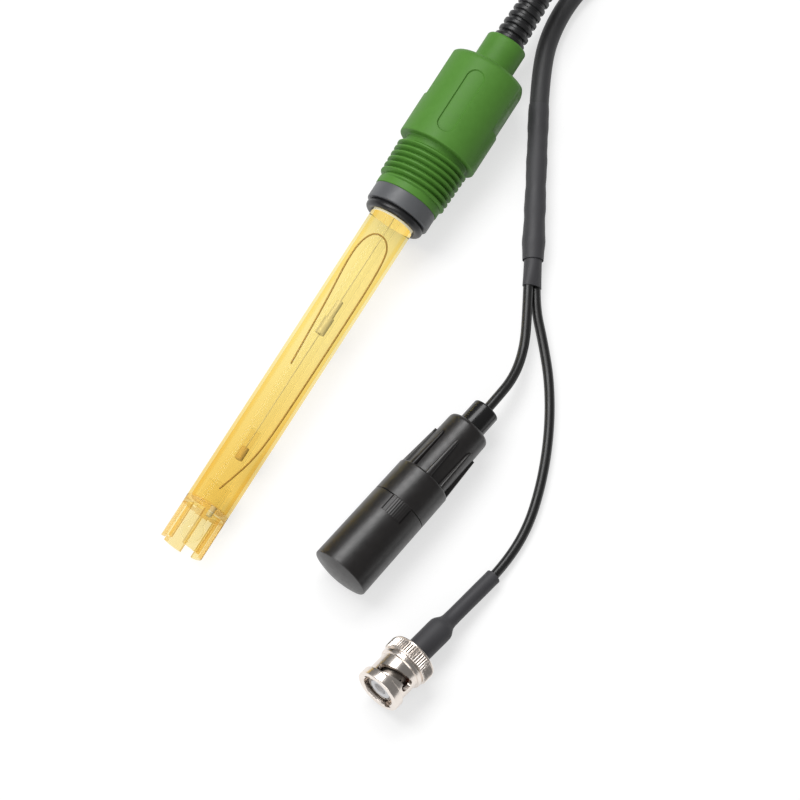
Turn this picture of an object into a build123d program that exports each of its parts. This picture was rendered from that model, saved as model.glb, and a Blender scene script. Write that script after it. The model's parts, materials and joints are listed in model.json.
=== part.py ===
from build123d import *
import math
import os

# In-line pH electrode: a clear amber probe with a green threaded head, on a lead
# that splits to a small battery case and a bayonet plug. Millimetres, +Z up.
# The probe lies along X with its tip at -X, and everything rests on z = 0.

# Probe tube with its slotted guard
tube_diameter = 13.0
tube_wall = 1.2
bore_draft = 0.1
tube_exposed = 109.0
tube_seat = 20.0
tube_seat_diameter = 12.6
slot_width = 3.7
slot_depth = 11.5
slot_turn = 10.5
bulkhead_length = 2.0
fit_gap = 0.1

# Glass stem and bulb, and what is inside and around the stem
stem_diameter = 5.2
stem_wall = 0.7
stem_above_tube = 1.0
bulb_diameter = 7.0
bulb_wall = 0.4
bulb_recess = 2.1
seal_diameter = 7.0
seal_length = 7.0
pellet_diameter = 2.2
pellet_length = 4.0
pellet_from_tip = 29.0
pellet_sleeve_diameter = 3.0
pellet_sleeve_length = 9.5
inner_wire_diameter = 0.6
splice_from_tip = 71.0
splice_large_diameter = 2.6
splice_small_diameter = 1.8
splice_step_length = 5.5
reference_wire_diameter = 0.9
reference_wire_radius = 4.25
junction_diameter = 1.6
junction_length = 3.0
stopper_length = 8.0

# O-ring, washer and threaded head
ring_section = 2.5
ring_step_gap = 0.3
washer_diameter = 19.0
washer_length = 4.7
pilot_diameter = 19.35
pilot_length = 2.2
thread_diameter = 20.7
thread_pitch = 1.814
thread_turns = 7
thread_depth = 1.15
thread_taper = 1 / 16
thread_crest_flat = 0.25
undercut_diameter = 19.4
undercut_length = 1.3
body_overhang = 2.15
body_length = 28.2
body_top_fillet = 2.0
body_rim_fillet = 0.5
flat_depth = 1.2
flats_length = 15.9
recess_length = 20.4
recess_width = 5.4
recess_depth = 0.4
recess_from_rim = 13.3
neck_diameter = 12.1
neck_length = 9.6
neck_base_fillet = 1.6
neck_end_fillet = 0.8
head_end_wall = 3.2

# Amplifier board in the head
board_end_gap = 2.6
board_width = 11.8
board_thickness = 1.2
board_gap = 1.6
chip_length = 6.0
chip_width = 4.0
chip_height = 1.8
capacitor_length = 2.4
capacitor_width = 5.0

# Strain relief
relief_diameter = 9.2
relief_end_diameter = 7.8
relief_core_diameter = 7.0
relief_rib_pitch = 2.4
relief_ribs = 8
relief_rib_width = 1.4
relief_tail = 3.0
relief_shank_length = 9.0
cable_socket = 6.0

# Cables and the heat-shrunk sleeves where the lead splits
main_cable_diameter = 5.4
branch_cable_diameter = 2.8
sleeve_diameter = 5.9
sleeve_bulge_diameter = 6.6
sleeve_bulge_length = 14.0
sleeve_socket = 6.0
inner_sleeve_diameter = 5.0
inner_sleeve_mouth_long = 6.4
inner_sleeve_mouth_short = 3.8
inner_sleeve_lap = 5.0
inner_sleeve_reach = 7.9
branch_socket = 3.0
branch_offset = 1.02

# Coil of the spare cable, and its tie
coil_radius = 28.3
coil_centre_x = 185.0
coil_centre_y = -2.1
coil_lift = 1.1
coil_lead_in_heading = 30.0
coil_lead_out_heading = 165.0
coil_stub = 24.0
tie_width = 4.0
tie_thickness = 0.8
tie_gap = 0.2
tie_turn = 20.0

# Battery case
case_front_diameter = 17.2
case_collar_diameter = 16.4
cap_length = 26.0
cap_dome = 1.5
cap_end_wall = 1.0
cap_inner_diameter = 13.9
collar_length = 10.8
collar_fillet = 1.2
seam_gap = 0.15
spigot_length = 12.0
key_width = 6.3
key_length = 5.2
key_recess = 0.3
key_gap = 0.15
taper_length = 19.6
taper_front_diameter = 13.6
taper_rear_diameter = 12.8
shoulder_fillet = 1.4
rib_count = 8
rib_length = 13.0
rib_front_width = 2.0
rib_rear_width = 1.0
rib_front_diameter = 15.6
rib_rear_diameter = 13.9
case_end_wall = 3.6
wire_space_diameter = 8.4
cell_diameter = 12.0
cell_length = 29.2
cell_nub_diameter = 4.0
cell_nub_length = 1.0
cell_gap = 0.15
contact_thickness = 0.4
rear_contact_gap = 0.2
rear_contact_rise = 1.4
leaf_width = 3.0
strip_width = 2.0
strip_thickness = 0.4
bush_diameter = 8.0
bush_length = 7.0
bush_fillet = 0.5
bush_shank_diameter = 5.0

# Bayonet plug, measured back from its front face
flange_diameter = 13.8
flange_length = 2.8
waist_diameter = 12.2
waist_length = 6.4
rim_diameter = 13.6
rim_length = 1.2
groove_diameter = 12.8
groove_length = 0.5
knurl_diameter = 14.6
knurl_length = 4.1
knurl_chamfer = 0.4
coupling_bore = 9.9
chamber_diameter = 11.6
chamber_length = 3.6
lip_length = 1.4
cam_width = 2.4
cam_entry_width = 2.4
cam_lug_diameter = 11.2
cam_front = 3.4
cam_first_turn = -51.0
cam_steps = 5
cam_step_turn = 22.0
cam_step_rise = 0.6
cam_detent = 1.4
plug_body_diameter = 8.4
running_gap = 0.08
contact_front = 1.0
contact_outer_diameter = 8.1
contact_inner_diameter = 6.7
contact_slot_width = 0.5
contact_slot_length = 5.0
contact_length = 8.0
shoulder_diameter = 9.5
shoulder_length = 1.2
retainer_diameter = 11.0
retainer_thickness = 0.8
retainer_groove = 0.4
plug_waist_end = 16.2
tail_diameter = 4.4
tail_length = 8.4
ferrule_wall = 0.9
insulator_recess_diameter = 3.8
insulator_recess = 4.3
insulator_length = 8.3
pin_diameter = 1.35
pin_front = 2.6
pin_length = 11.4
gasket_length = 1.2
boot_wide_diameter = 7.4
boot_wall = 0.5
boot_wide_length = 10.9
boot_taper_length = 2.8
boot_narrow_diameter = 4.4
boot_narrow_length = 18.6
boot_gap = 0.3

# Where the case, the plug and the sleeve lie on the table
case_front_x = -81.7
case_front_y = -40.8
case_yaw = -8.6
case_turn = 10.5
plug_front_x = -103.7
plug_front_y = -67.5
plug_yaw = -10.3
sleeve_mouth = (66.2, -15.1)
sleeve_end = (26.1, -37.6)

# Sizes that follow from those above
tube_radius = tube_diameter / 2
bore_radius = tube_radius - tube_wall
seat_radius = tube_seat_diameter / 2
stem_radius = stem_diameter / 2
bulkhead_top = slot_depth + bulkhead_length
tube_step = tube_exposed - ring_step_gap
washer_start = tube_exposed + ring_section
head_start = washer_start + washer_length
tube_length = head_start + tube_seat
stem_top = tube_length + stem_above_tube
thread_start = head_start + pilot_length
thread_length = thread_turns * thread_pitch
rim_start = thread_start + thread_length + undercut_length
shoulder_start = rim_start + body_length
neck_end = shoulder_start + neck_length
body_diameter = undercut_diameter + 2 * body_overhang
flats_across = body_diameter - 2 * flat_depth
head_bore_end = shoulder_start - head_end_wall
relief_end = neck_end + relief_ribs * relief_rib_pitch + relief_tail
board_start = tube_length + board_gap
board_length = head_bore_end - board_end_gap - board_start

# The probe lies on the edges of its guard prongs and on the rim of its head
slot_half_angle = math.degrees(math.asin(slot_width / tube_diameter))
prong_radius = tube_radius * math.cos(math.radians(slot_half_angle - slot_turn))
tilt = math.degrees(math.atan2(body_diameter / 2 - prong_radius, rim_start + body_rim_fillet))
tip_reach = tube_radius * math.sin(math.radians(tilt))
relief_reach = (relief_end * math.cos(math.radians(tilt))
                + relief_end_diameter / 2 * math.sin(math.radians(tilt)))
probe_place = Location(
    ((tip_reach - relief_reach) / 2, 0, prong_radius * math.cos(math.radians(tilt))),
    (0, -tilt, 0),
)

# The case lies on its straight taper, from the cap's rim to the collar
case_seam = cap_length
collar_end = case_seam + collar_length
case_shoulder = collar_end + taper_length
case_rear = case_shoulder + bush_length
case_slope = (case_front_diameter - case_collar_diameter) / 2 / (collar_end - cap_dome)
case_tilt = math.degrees(math.atan(case_slope))
case_height = (case_front_diameter / 2 + case_slope * cap_dome) * math.cos(math.radians(case_tilt))
case_lie = Pos(case_front_x, case_front_y, case_height) * Rot(0, 0, case_yaw) * Rot(0, case_tilt, 0)
case_place = case_lie * Rot(case_turn, 0, 0)

# The plug lies on the knurl's back edge and on the end of its boot
waist_start = flange_length
rim_band_start = waist_start + waist_length
groove_start = rim_band_start + rim_length
knurl_start = groove_start + groove_length
coupling_end = knurl_start + knurl_length
chamber_start = coupling_end - lip_length - chamber_length
boot_start = coupling_end + boot_gap
boot_wide_end = boot_start + boot_wide_length
boot_taper_end = boot_wide_end + boot_taper_length
boot_end = boot_taper_end + boot_narrow_length
knurl_edge = coupling_end - knurl_chamfer
plug_tilt = math.degrees(math.atan2((knurl_diameter - boot_narrow_diameter) / 2, boot_end - knurl_edge))
plug_height = (boot_narrow_diameter / 2 * math.cos(math.radians(plug_tilt))
               + boot_end * math.sin(math.radians(plug_tilt)))
plug_place = Pos(plug_front_x, plug_front_y, plug_height) * Rot(0, 0, plug_yaw) * Rot(0, plug_tilt, 0)

# The split sleeve lies on its bulge
sleeve_height = sleeve_bulge_diameter / 2
sleeve_top = Vector(sleeve_mouth[0], sleeve_mouth[1], sleeve_height)
sleeve_low = Vector(sleeve_end[0], sleeve_end[1], sleeve_height)
sleeve_direction = (sleeve_top - sleeve_low).normalized()
sleeve_length = (sleeve_top - sleeve_low).length
sleeve_yaw = math.degrees(math.atan2(sleeve_direction.Y, sleeve_direction.X))
sleeve_place = Location(tuple(sleeve_low), (0, 0, sleeve_yaw))


def turned(points):
    """Solid turned about the X axis from an outline of (x, radius) points."""
    return revolve(make_face(Polyline(*points, close=True)), Axis.X)


def ring(start, end, inner_radius, outer_radius):
    """Round tube along the X axis."""
    return turned([(start, inner_radius), (start, outer_radius), (end, outer_radius), (end, inner_radius)])


def rod(start, end, radius):
    """Round bar along the X axis."""
    return turned([(start, 0), (start, radius), (end, radius), (end, 0)])


def block(start, length, width, height, base):
    """Box along X, centred in Y, standing on z = base."""
    return Pos(start, 0, base) * Box(length, width, height, align=(Align.MIN, Align.CENTER, Align.MIN))


def point_on(place, distance):
    """Point on a placed piece's own X axis."""
    return (place * Pos(distance, 0, 0)).position


def tube_along(name, points, diameter):
    """Round bar along straight runs joined by the largest tangent arcs that they allow."""
    places = [Vector(point) for point in points]
    runs = [after - before for before, after in zip(places, places[1:])]
    radii = []
    for before, after in zip(runs, runs[1:]):
        half_turn = math.radians(before.get_angle(after) / 2)
        radii.append(0.45 * min(before.length, after.length) / math.tan(half_turn))
    path = FilletPolyline(*places, radius=radii)
    section = Plane(origin=places[0], z_dir=runs[0]) * Circle(diameter / 2)
    tube = sweep(section, path=path)
    share = tube.volume / (math.pi * diameter ** 2 / 4 * path.length)
    print(f"{name}: length {path.length:.1f}, volume share {share:.3f},",
          "radii", ", ".join(f"{radius:.0f}" for radius in radii))
    return tube


def rounded(solid, radius, place, reach):
    """Fillets the circular edges that lie at one place on the X axis and reach one radius."""
    edges = [
        edge for edge in solid.edges().filter_by(GeomType.CIRCLE)
        if abs(edge.arc_center.X - place) < 0.01 and abs(edge.radius - reach) < 0.01
    ]
    return fillet(edges, radius)


def make_electrode_tube():
    stem_hole = stem_radius + fit_gap
    tube = turned([
        (0, bore_radius), (0, tube_radius), (tube_step, tube_radius), (tube_step, seat_radius),
        (tube_length, seat_radius), (tube_length, bore_radius), (bulkhead_top, bore_radius - bore_draft),
        (bulkhead_top, stem_hole), (slot_depth, stem_hole), (slot_depth, bore_radius),
    ])
    for turn in (slot_turn, slot_turn + 90):
        slot = Box(slot_depth, 2 * tube_diameter, slot_width, align=(Align.MIN, Align.CENTER, Align.CENTER))
        tube -= Rot(90 - turn, 0, 0) * slot
    return tube - junction_place() * rod(slot_depth - 1, bulkhead_top + 1, junction_diameter / 2 + fit_gap)


def junction_place():
    """Half way across the bulkhead, behind one of the guard's prongs."""
    radius = (stem_radius + bore_radius) / 2
    return Rot(45 - slot_turn, 0, 0) * Pos(0, 0, radius)


def make_junction_pin():
    return junction_place() * rod(bulkhead_top - junction_length, bulkhead_top, junction_diameter / 2)


def make_ph_glass():
    centre = bulb_recess + bulb_diameter / 2
    outer = bulb_diameter / 2
    inner = outer - bulb_wall
    stem_inner = stem_radius - stem_wall
    outer_join = (centre + math.sqrt(outer ** 2 - stem_radius ** 2), stem_radius)
    inner_join = (centre + math.sqrt(inner ** 2 - stem_inner ** 2), stem_inner)
    outline = [
        ThreePointArc((centre - outer, 0), (centre, outer), outer_join),
        Line(outer_join, (stem_top, stem_radius)),
        Line((stem_top, stem_radius), (stem_top, stem_inner)),
        Line((stem_top, stem_inner), inner_join),
        ThreePointArc(inner_join, (centre, inner), (centre - inner, 0)),
        Line((centre - inner, 0), (centre - outer, 0)),
    ]
    return revolve(make_face(outline), Axis.X)


def make_stem_seal():
    return ring(bulkhead_top, bulkhead_top + seal_length, stem_radius + fit_gap / 2, seal_diameter / 2)


def make_reference_pellet():
    return rod(pellet_from_tip, pellet_from_tip + pellet_length, pellet_diameter / 2)


def make_pellet_sleeve():
    inner = pellet_diameter / 2 + fit_gap / 2
    return ring(pellet_from_tip, pellet_from_tip + pellet_sleeve_length, inner, pellet_sleeve_diameter / 2)


def make_inner_wire():
    return rod(pellet_from_tip + pellet_length, board_start, inner_wire_diameter / 2)


def make_wire_splice():
    inner = inner_wire_diameter / 2 + fit_gap / 2
    middle = splice_from_tip + splice_step_length
    end = middle + splice_step_length
    return turned([
        (splice_from_tip, inner), (splice_from_tip, splice_large_diameter / 2),
        (middle, splice_large_diameter / 2), (middle, splice_small_diameter / 2),
        (end, splice_small_diameter / 2), (end, inner),
    ])


def make_reference_wire():
    """Hairpin in the space between stem and tube: distance from the tip, and turn from straight up."""
    stations = [
        (61.8, 16), (81.0, 32), (95.0, 62), (102.0, 58), (106.0, 20), (105.8, -32),
        (101.5, -72), (72.0, -74), (43.0, -70), (33.5, -58), (26.0, -30), (20.9, -12),
    ]
    points = []
    for along, turn in stations:
        across = reference_wire_radius * math.sin(math.radians(turn))
        height = reference_wire_radius * math.cos(math.radians(turn))
        points.append((along, across, height))
    return tube_along("reference_wire", points, reference_wire_diameter)


def make_tube_stopper():
    inner = stem_radius + fit_gap / 2
    return ring(tube_length - stopper_length, tube_length, inner, bore_radius - fit_gap / 2)


def make_o_ring():
    section_radius = ring_section / 2
    centre = (tube_exposed + section_radius, seat_radius + fit_gap / 2 + section_radius)
    return revolve(Pos(*centre) * Circle(section_radius), Axis.X)


def make_sealing_washer():
    return ring(washer_start, head_start, seat_radius + fit_gap, washer_diameter / 2)


def make_threaded_head():
    outline = [(head_start, seat_radius + fit_gap), (head_start, pilot_diameter / 2)]
    outline.append((thread_start, pilot_diameter / 2))
    for turn in range(thread_turns):
        crest = thread_start + (turn + 0.5) * thread_pitch
        crest_radius = thread_diameter / 2 + (crest - thread_start) * thread_taper / 2
        outline.append((thread_start + turn * thread_pitch, crest_radius - thread_depth))
        outline.append((crest - thread_crest_flat / 2, crest_radius))
        outline.append((crest + thread_crest_flat / 2, crest_radius))
    outline.append((thread_start + thread_length, undercut_diameter / 2))
    outline.append((rim_start, undercut_diameter / 2))
    outline += [(rim_start, body_diameter / 2), (shoulder_start, body_diameter / 2)]
    outline += [(shoulder_start, neck_diameter / 2), (neck_end, neck_diameter / 2)]
    shank_radius = relief_core_diameter / 2 + fit_gap / 2
    outline += [(neck_end, shank_radius), (head_bore_end, shank_radius)]
    outline.append((head_bore_end, seat_radius + fit_gap))
    head = turned(outline)
    head = rounded(head, body_rim_fillet, rim_start, body_diameter / 2)
    head = rounded(head, neck_end_fillet, neck_end, neck_diameter / 2)
    head = rounded(head, neck_base_fillet, shoulder_start, neck_diameter / 2)
    head = rounded(head, body_top_fillet, shoulder_start, body_diameter / 2)
    flats_start = shoulder_start - flats_length
    for side in (-1, 1):
        cutter = Box(flats_length, body_diameter, 2 * body_diameter,
                     align=(Align.MIN, Align.CENTER, Align.CENTER))
        head -= Pos(flats_start, side * (flats_across + body_diameter) / 2, 0) * cutter
    recess = extrude(SlotOverall(recess_length, recess_width), amount=body_diameter)
    recess = Pos(rim_start + recess_from_rim, 0, 0) * recess
    skin = ring(rim_start, shoulder_start, body_diameter / 2 - recess_depth, body_diameter)
    return head - (recess & skin)


def make_strain_relief():
    core = relief_core_diameter / 2
    outline = [(neck_end - relief_shank_length, 0), (neck_end - relief_shank_length, core)]
    for rib in range(relief_ribs):
        start = neck_end + rib * relief_rib_pitch
        end = start + relief_rib_width
        share = rib / (relief_ribs - 1)
        radius = (relief_diameter + share * (relief_end_diameter - relief_diameter)) / 2
        outline += [(start, core), (start, radius), (end, radius), (end, core)]
    tail_start = relief_end - relief_tail
    tail = relief_end_diameter / 2
    outline += [(tail_start, core), (tail_start, tail), (relief_end, tail)]
    socket = main_cable_diameter / 2 + fit_gap
    outline += [(relief_end, socket), (relief_end - cable_socket, socket), (relief_end - cable_socket, 0)]
    return turned(outline)


def make_amplifier_board():
    return block(board_start, board_length, board_width, board_thickness, -board_thickness)


def make_board_parts():
    chip = block(board_start + board_length / 4, chip_length, chip_width, chip_height, 0)
    capacitor = block(board_start + 3 * board_length / 4, capacitor_length, capacitor_width, chip_height, 0)
    return [chip, capacitor]


def make_main_cable_out():
    start = relief_end - cable_socket
    points = [
        point_on(probe_place, start), point_on(probe_place, start + 15),
        (121.7, 2.9, 10.9), (137.0, 9.1, coil_lift + main_cable_diameter / 2), coil_lead_in()[0],
    ]
    return tube_along("main_cable_out", points, main_cable_diameter)


def coil_point(heading, radius, height):
    """Where a cable with this heading meets the coil's clockwise turns, and the heading itself."""
    angle = math.radians(heading)
    direction = Vector(math.cos(angle), math.sin(angle), 0)
    side = Vector(-math.sin(angle), math.cos(angle), 0)
    return Vector(coil_centre_x, coil_centre_y, height) + side * radius, direction


def coil_lead_in():
    """Start and end of the straight stub that leads into the coil's lowest, outer turn."""
    height = coil_lift + main_cable_diameter / 2
    meeting, direction = coil_point(coil_lead_in_heading, coil_radius + main_cable_diameter, height)
    return meeting - direction * coil_stub, meeting


def coil_lead_out(reach):
    """Start of the straight run that leads out of the coil's upper, outer turn, and a point along it."""
    height = coil_lift + main_cable_diameter * (1 + math.sqrt(3)) / 2
    meeting, direction = coil_point(coil_lead_out_heading, coil_radius + main_cable_diameter / 2, height)
    return meeting, meeting + direction * reach


def make_cable_coil():
    """Outer shape of three turns side by side with two more lying on them."""
    wide = 1.5 * main_cable_diameter
    narrow = main_cable_diameter
    height = main_cable_diameter * (1 + math.sqrt(3) / 2)
    knee = main_cable_diameter / 2
    outline = [
        (coil_radius - wide, 0), (coil_radius + wide, 0), (coil_radius + wide, knee),
        (coil_radius + narrow, height), (coil_radius - narrow, height), (coil_radius - wide, knee),
    ]
    profile = Plane.XZ * make_face(Polyline(*outline, close=True))
    coil = Pos(coil_centre_x, coil_centre_y, coil_lift) * revolve(profile, Axis.Z)
    for start, end in (coil_lead_in(), coil_lead_out(coil_stub)):
        section = Plane(origin=start, z_dir=end - start) * Circle(main_cable_diameter / 2)
        coil += extrude(section, amount=coil_stub)
    return coil


def make_coil_tie():
    """Flat band round the coil's section."""
    wide = 1.5 * main_cable_diameter + tie_gap
    height = main_cable_diameter * (1 + math.sqrt(3) / 2) + 2 * tie_gap
    inner = Rectangle(2 * wide, height)
    outer = RectangleRounded(2 * (wide + tie_thickness), height + 2 * tie_thickness, 2 * tie_thickness)
    band = extrude(Plane.XZ * (outer - inner), amount=tie_width / 2, both=True)
    middle = coil_lift + height / 2 - tie_gap
    return Pos(coil_centre_x, coil_centre_y, 0) * Rot(0, 0, tie_turn) * Pos(coil_radius, 0, middle) * band


def make_main_cable_back():
    points = [
        sleeve_top - sleeve_direction * sleeve_socket, sleeve_top + sleeve_direction * 9,
        (87.3, -6.1, 2.8), (103.0, -6.0, 2.75), (119.0, -12.2, 2.9),
        coil_lead_out(coil_stub + 17)[1], coil_lead_out(coil_stub)[1],
    ]
    return tube_along("main_cable_back", points, main_cable_diameter)


def make_splice_sleeve():
    radius = sleeve_diameter / 2
    bulge_middle = sleeve_bulge_length / 2
    socket = main_cable_diameter / 2 + fit_gap / 2
    lap_radius = inner_sleeve_diameter / 2 + fit_gap / 2
    outline = [
        (0, lap_radius), (0, radius), (bulge_middle, sleeve_bulge_diameter / 2),
        (sleeve_bulge_length, radius), (sleeve_length, radius), (sleeve_length, socket),
        (sleeve_length - sleeve_socket, socket),
        (sleeve_length - sleeve_socket, 0), (inner_sleeve_lap, 0), (inner_sleeve_lap, lap_radius),
    ]
    return turned(outline)


def branch_mouths():
    """Offsets of the two thin cables in the pinched mouth, case branch first."""
    return [(branch_offset, branch_offset), (-branch_offset, -branch_offset)]


def make_inner_sleeve():
    """Round where it leaves the splice, pinched to a slanting oval round the two thin cables."""
    back = rod(0, inner_sleeve_lap, inner_sleeve_diameter / 2)
    face = Plane(origin=(0, 0, 0), x_dir=(0, 1, 0), z_dir=(-1, 0, 0))
    mouth = Plane(origin=(-inner_sleeve_reach, 0, 0), x_dir=(0, 1, 0), z_dir=(-1, 0, 0))
    oval = Rot(0, 0, -45) * Ellipse(inner_sleeve_mouth_long / 2, inner_sleeve_mouth_short / 2)
    sleeve = back + loft([face * Circle(inner_sleeve_diameter / 2), mouth * oval])
    socket_radius = branch_cable_diameter / 2 + fit_gap / 2
    for across, up in branch_mouths():
        socket = rod(-inner_sleeve_reach - 1, branch_socket - inner_sleeve_reach, socket_radius)
        sleeve -= Pos(0, across, up) * socket
    return sleeve


def branch_start(number, distance):
    """Point on one thin cable's line through the mouth, a distance in front of its socket's floor."""
    across, up = branch_mouths()[number]
    return (sleeve_place * Pos(branch_socket - inner_sleeve_reach - distance, across, up)).position


def make_branch_cable_case():
    points = [
        branch_start(0, 0), branch_start(0, 10.5), (3.2, -48.9, 3.6), (-6.4, -51.4, 5.6),
        point_on(case_place, case_rear + 3.2), point_on(case_place, case_rear - branch_socket),
    ]
    return tube_along("branch_cable_case", points, branch_cable_diameter)


def make_branch_cable_plug():
    points = [
        branch_start(1, 0), branch_start(1, 8.0), (7.5, -52.3, 1.5), (-1.8, -60.1, 1.4),
        (-14.2, -67.5, 1.4), (-27.7, -73.2, 1.4), (-41.0, -76.7, 1.4),
        point_on(plug_place, boot_end + 4.0), point_on(plug_place, boot_end - branch_socket),
    ]
    return tube_along("branch_cable_plug", points, branch_cable_diameter)


def case_radius(place):
    """Radius of the case's straight outer taper."""
    return case_front_diameter / 2 - case_slope * (place - cap_dome)


def make_battery_cap():
    rim = case_front_diameter / 2
    inner = cap_inner_diameter / 2
    floor = cap_dome + cap_end_wall
    dome_radius = (rim ** 2 + cap_dome ** 2) / (2 * cap_dome)
    half_rim = rim / 2
    dome_middle = (dome_radius - math.sqrt(dome_radius ** 2 - half_rim ** 2), half_rim)
    outline = [
        ThreePointArc((0, 0), dome_middle, (cap_dome, rim)),
        Polyline((cap_dome, rim), (case_seam, case_radius(case_seam)), (case_seam, inner),
                 (floor, inner), (floor, 0), (0, 0)),
    ]
    cap = revolve(make_face(outline), Axis.X)
    notch = block(case_seam - key_length, key_length + 1, key_width + 2 * key_gap, case_front_diameter, 0)
    return cap - notch


def make_case_body():
    spigot = cap_inner_diameter / 2 - fit_gap
    bore = cell_diameter / 2 + cell_gap
    collar_start = case_seam + seam_gap
    outline = [
        (case_seam - spigot_length, bore), (case_seam - spigot_length, spigot), (collar_start, spigot),
        (collar_start, case_radius(collar_start)), (collar_end, case_radius(collar_end)),
        (collar_end, taper_front_diameter / 2), (case_shoulder, taper_rear_diameter / 2),
        (case_shoulder, bush_shank_diameter / 2 + fit_gap / 2),
        (case_shoulder - case_end_wall, bush_shank_diameter / 2 + fit_gap / 2),
        (case_shoulder - case_end_wall, wire_space_diameter / 2), (contact_seat(), wire_space_diameter / 2),
        (contact_seat(), bore),
    ]
    body = turned(outline)
    body = rounded(body, collar_fillet, collar_end, case_collar_diameter / 2)
    body = rounded(body, shoulder_fillet, case_shoulder, taper_rear_diameter / 2)
    for number in range(rib_count):
        body += Rot(360 * number / rib_count, 0, 0) * grip_rib()
    key_start = case_seam - key_length + key_gap
    key = block(key_start, key_length + collar_length / 2, key_width, case_front_diameter, 0)
    key_skin = ring(0, collar_end, spigot - fit_gap, case_radius(case_seam) - key_recess)
    body += key & key_skin
    groove = block(case_seam - spigot_length - 1, contact_seat() - case_seam + spigot_length + 1,
                   strip_width + 2 * fit_gap, strip_thickness + fit_gap, -bore - strip_thickness)
    return body - groove


def contact_seat():
    """Floor of the cell's bore, where the rear contact sits."""
    return cell_front() + cell_nub_length + cell_length + rear_contact_rise + contact_thickness


def cell_front():
    """The cell's nub touches the contact in the cap's end."""
    return cap_dome + cap_end_wall + contact_thickness


def grip_rib():
    """One grip rib: wide and high at the collar, narrow and low at its rounded rear end."""
    round_end = rib_rear_width / 2
    half_width = rib_front_width / 2
    straight = rib_length - round_end
    plan = make_face([
        Polyline((straight, round_end), (-collar_fillet, half_width), (-collar_fillet, -half_width),
                 (straight, -round_end)),
        ThreePointArc((straight, -round_end), (rib_length, 0), (straight, round_end)),
    ])
    prism = Pos(collar_end, 0, 0) * extrude(plan, amount=case_front_diameter)
    root = taper_rear_diameter / 2 - fit_gap
    start = collar_end - collar_fillet
    end = collar_end + rib_length
    skin = turned([(start, root), (start, rib_front_diameter / 2), (end, rib_rear_diameter / 2), (end, root)])
    return prism & skin


def make_battery_cell():
    front = cell_front()
    start = front + cell_nub_length
    return turned([
        (front, 0), (front, cell_nub_diameter / 2), (start, cell_nub_diameter / 2),
        (start, cell_diameter / 2), (start + cell_length, cell_diameter / 2), (start + cell_length, 0),
    ])


def make_cap_contact():
    """Plated cup in the end of the cap, whose skirt runs down to the spigot."""
    outer = cap_inner_diameter / 2 - fit_gap / 2
    start = cap_dome + cap_end_wall
    skirt_end = case_seam - spigot_length - 2 * fit_gap
    return turned([
        (start, 0), (start, outer), (skirt_end, outer), (skirt_end, outer - contact_thickness),
        (start + contact_thickness, outer - contact_thickness), (start + contact_thickness, 0),
    ])


def make_rear_contact():
    """Plate on the floor of the bore with two leaves bent up to the cell."""
    seat = contact_seat()
    radius = cell_diameter / 2
    plate = rod(seat - contact_thickness, seat, radius)
    leaf_tip = seat - rear_contact_rise + rear_contact_gap
    leaf_root, leaf_end = radius / 2, radius / 12
    for side in (-1, 1):
        leaf = Polyline(
            (seat - contact_thickness, side * leaf_root), (leaf_tip - contact_thickness, side * leaf_end),
            (leaf_tip, side * leaf_end), (seat, side * leaf_root), close=True,
        )
        plate += extrude(make_face(leaf), amount=leaf_width / 2, both=True)
    return plate


def make_contact_strip():
    bore = cell_diameter / 2 + cell_gap
    start = case_seam - spigot_length
    length = contact_seat() - contact_thickness - fit_gap - start
    return block(start, length, strip_width, strip_thickness, -bore - strip_thickness + fit_gap / 2)


def make_case_bush():
    radius = bush_diameter / 2
    shank = bush_shank_diameter / 2
    socket = branch_cable_diameter / 2 + fit_gap / 2
    bush = turned([
        (case_shoulder - case_end_wall, 0), (case_shoulder - case_end_wall, shank), (case_shoulder, shank),
        (case_shoulder, radius), (case_rear, radius), (case_rear, socket),
        (case_rear - branch_socket, socket), (case_rear - branch_socket, 0),
    ])
    return rounded(bush, bush_fillet, case_rear, radius)


def make_plug_coupling():
    bore = coupling_bore / 2
    lip = plug_body_diameter / 2 + running_gap
    flange = flange_diameter / 2
    waist = waist_diameter / 2
    rim = rim_diameter / 2
    groove = groove_diameter / 2
    knurl = knurl_diameter / 2
    chamber = chamber_diameter / 2
    coupling = turned([
        (0, bore), (0, flange), (waist_start, flange), (waist_start, waist), (rim_band_start, waist),
        (rim_band_start, rim), (groove_start, rim), (groove_start, groove), (knurl_start, groove),
        (knurl_start, knurl - knurl_chamfer), (knurl_start + knurl_chamfer, knurl), (knurl_edge, knurl),
        (coupling_end, knurl - knurl_chamfer), (coupling_end, lip), (coupling_end - lip_length, lip),
        (coupling_end - lip_length, chamber), (chamber_start, chamber), (chamber_start, bore),
    ])
    for side in (0, 180):
        coupling -= Rot(side, 0, 0) * cam_track()
    return coupling


def cam_track():
    """Hidden entry for the jack's lug, a rising slot in short straight steps, and a hooked detent."""
    inside = rod(-1, chamber_start, cam_lug_diameter / 2)
    entry = block(-1, cam_front + 1, cam_entry_width, waist_diameter, 0)
    track = Rot(cam_first_turn, 0, 0) * entry & inside
    step_arc = math.radians(cam_step_turn) * waist_diameter / 2
    slant = math.degrees(math.atan2(step_arc, cam_step_rise))
    step_length = math.hypot(step_arc, cam_step_rise) + cam_width
    for step in range(cam_steps):
        slot = extrude(SlotOverall(step_length, cam_width), amount=waist_diameter)
        middle = cam_front + (step + 0.5) * cam_step_rise
        turn = cam_first_turn + (step + 0.5) * cam_step_turn
        placed = Rot(turn, 0, 0) * Pos(middle, 0, 0) * Rot(0, 0, -slant) * slot
        track += placed if step else placed & inside
    detent = extrude(SlotOverall(cam_detent + cam_width, cam_width), amount=waist_diameter)
    end = cam_front + cam_steps * cam_step_rise - cam_detent / 2
    return track + Rot(cam_first_turn + cam_steps * cam_step_turn, 0, 0) * Pos(end, 0, 0) * detent


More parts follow.
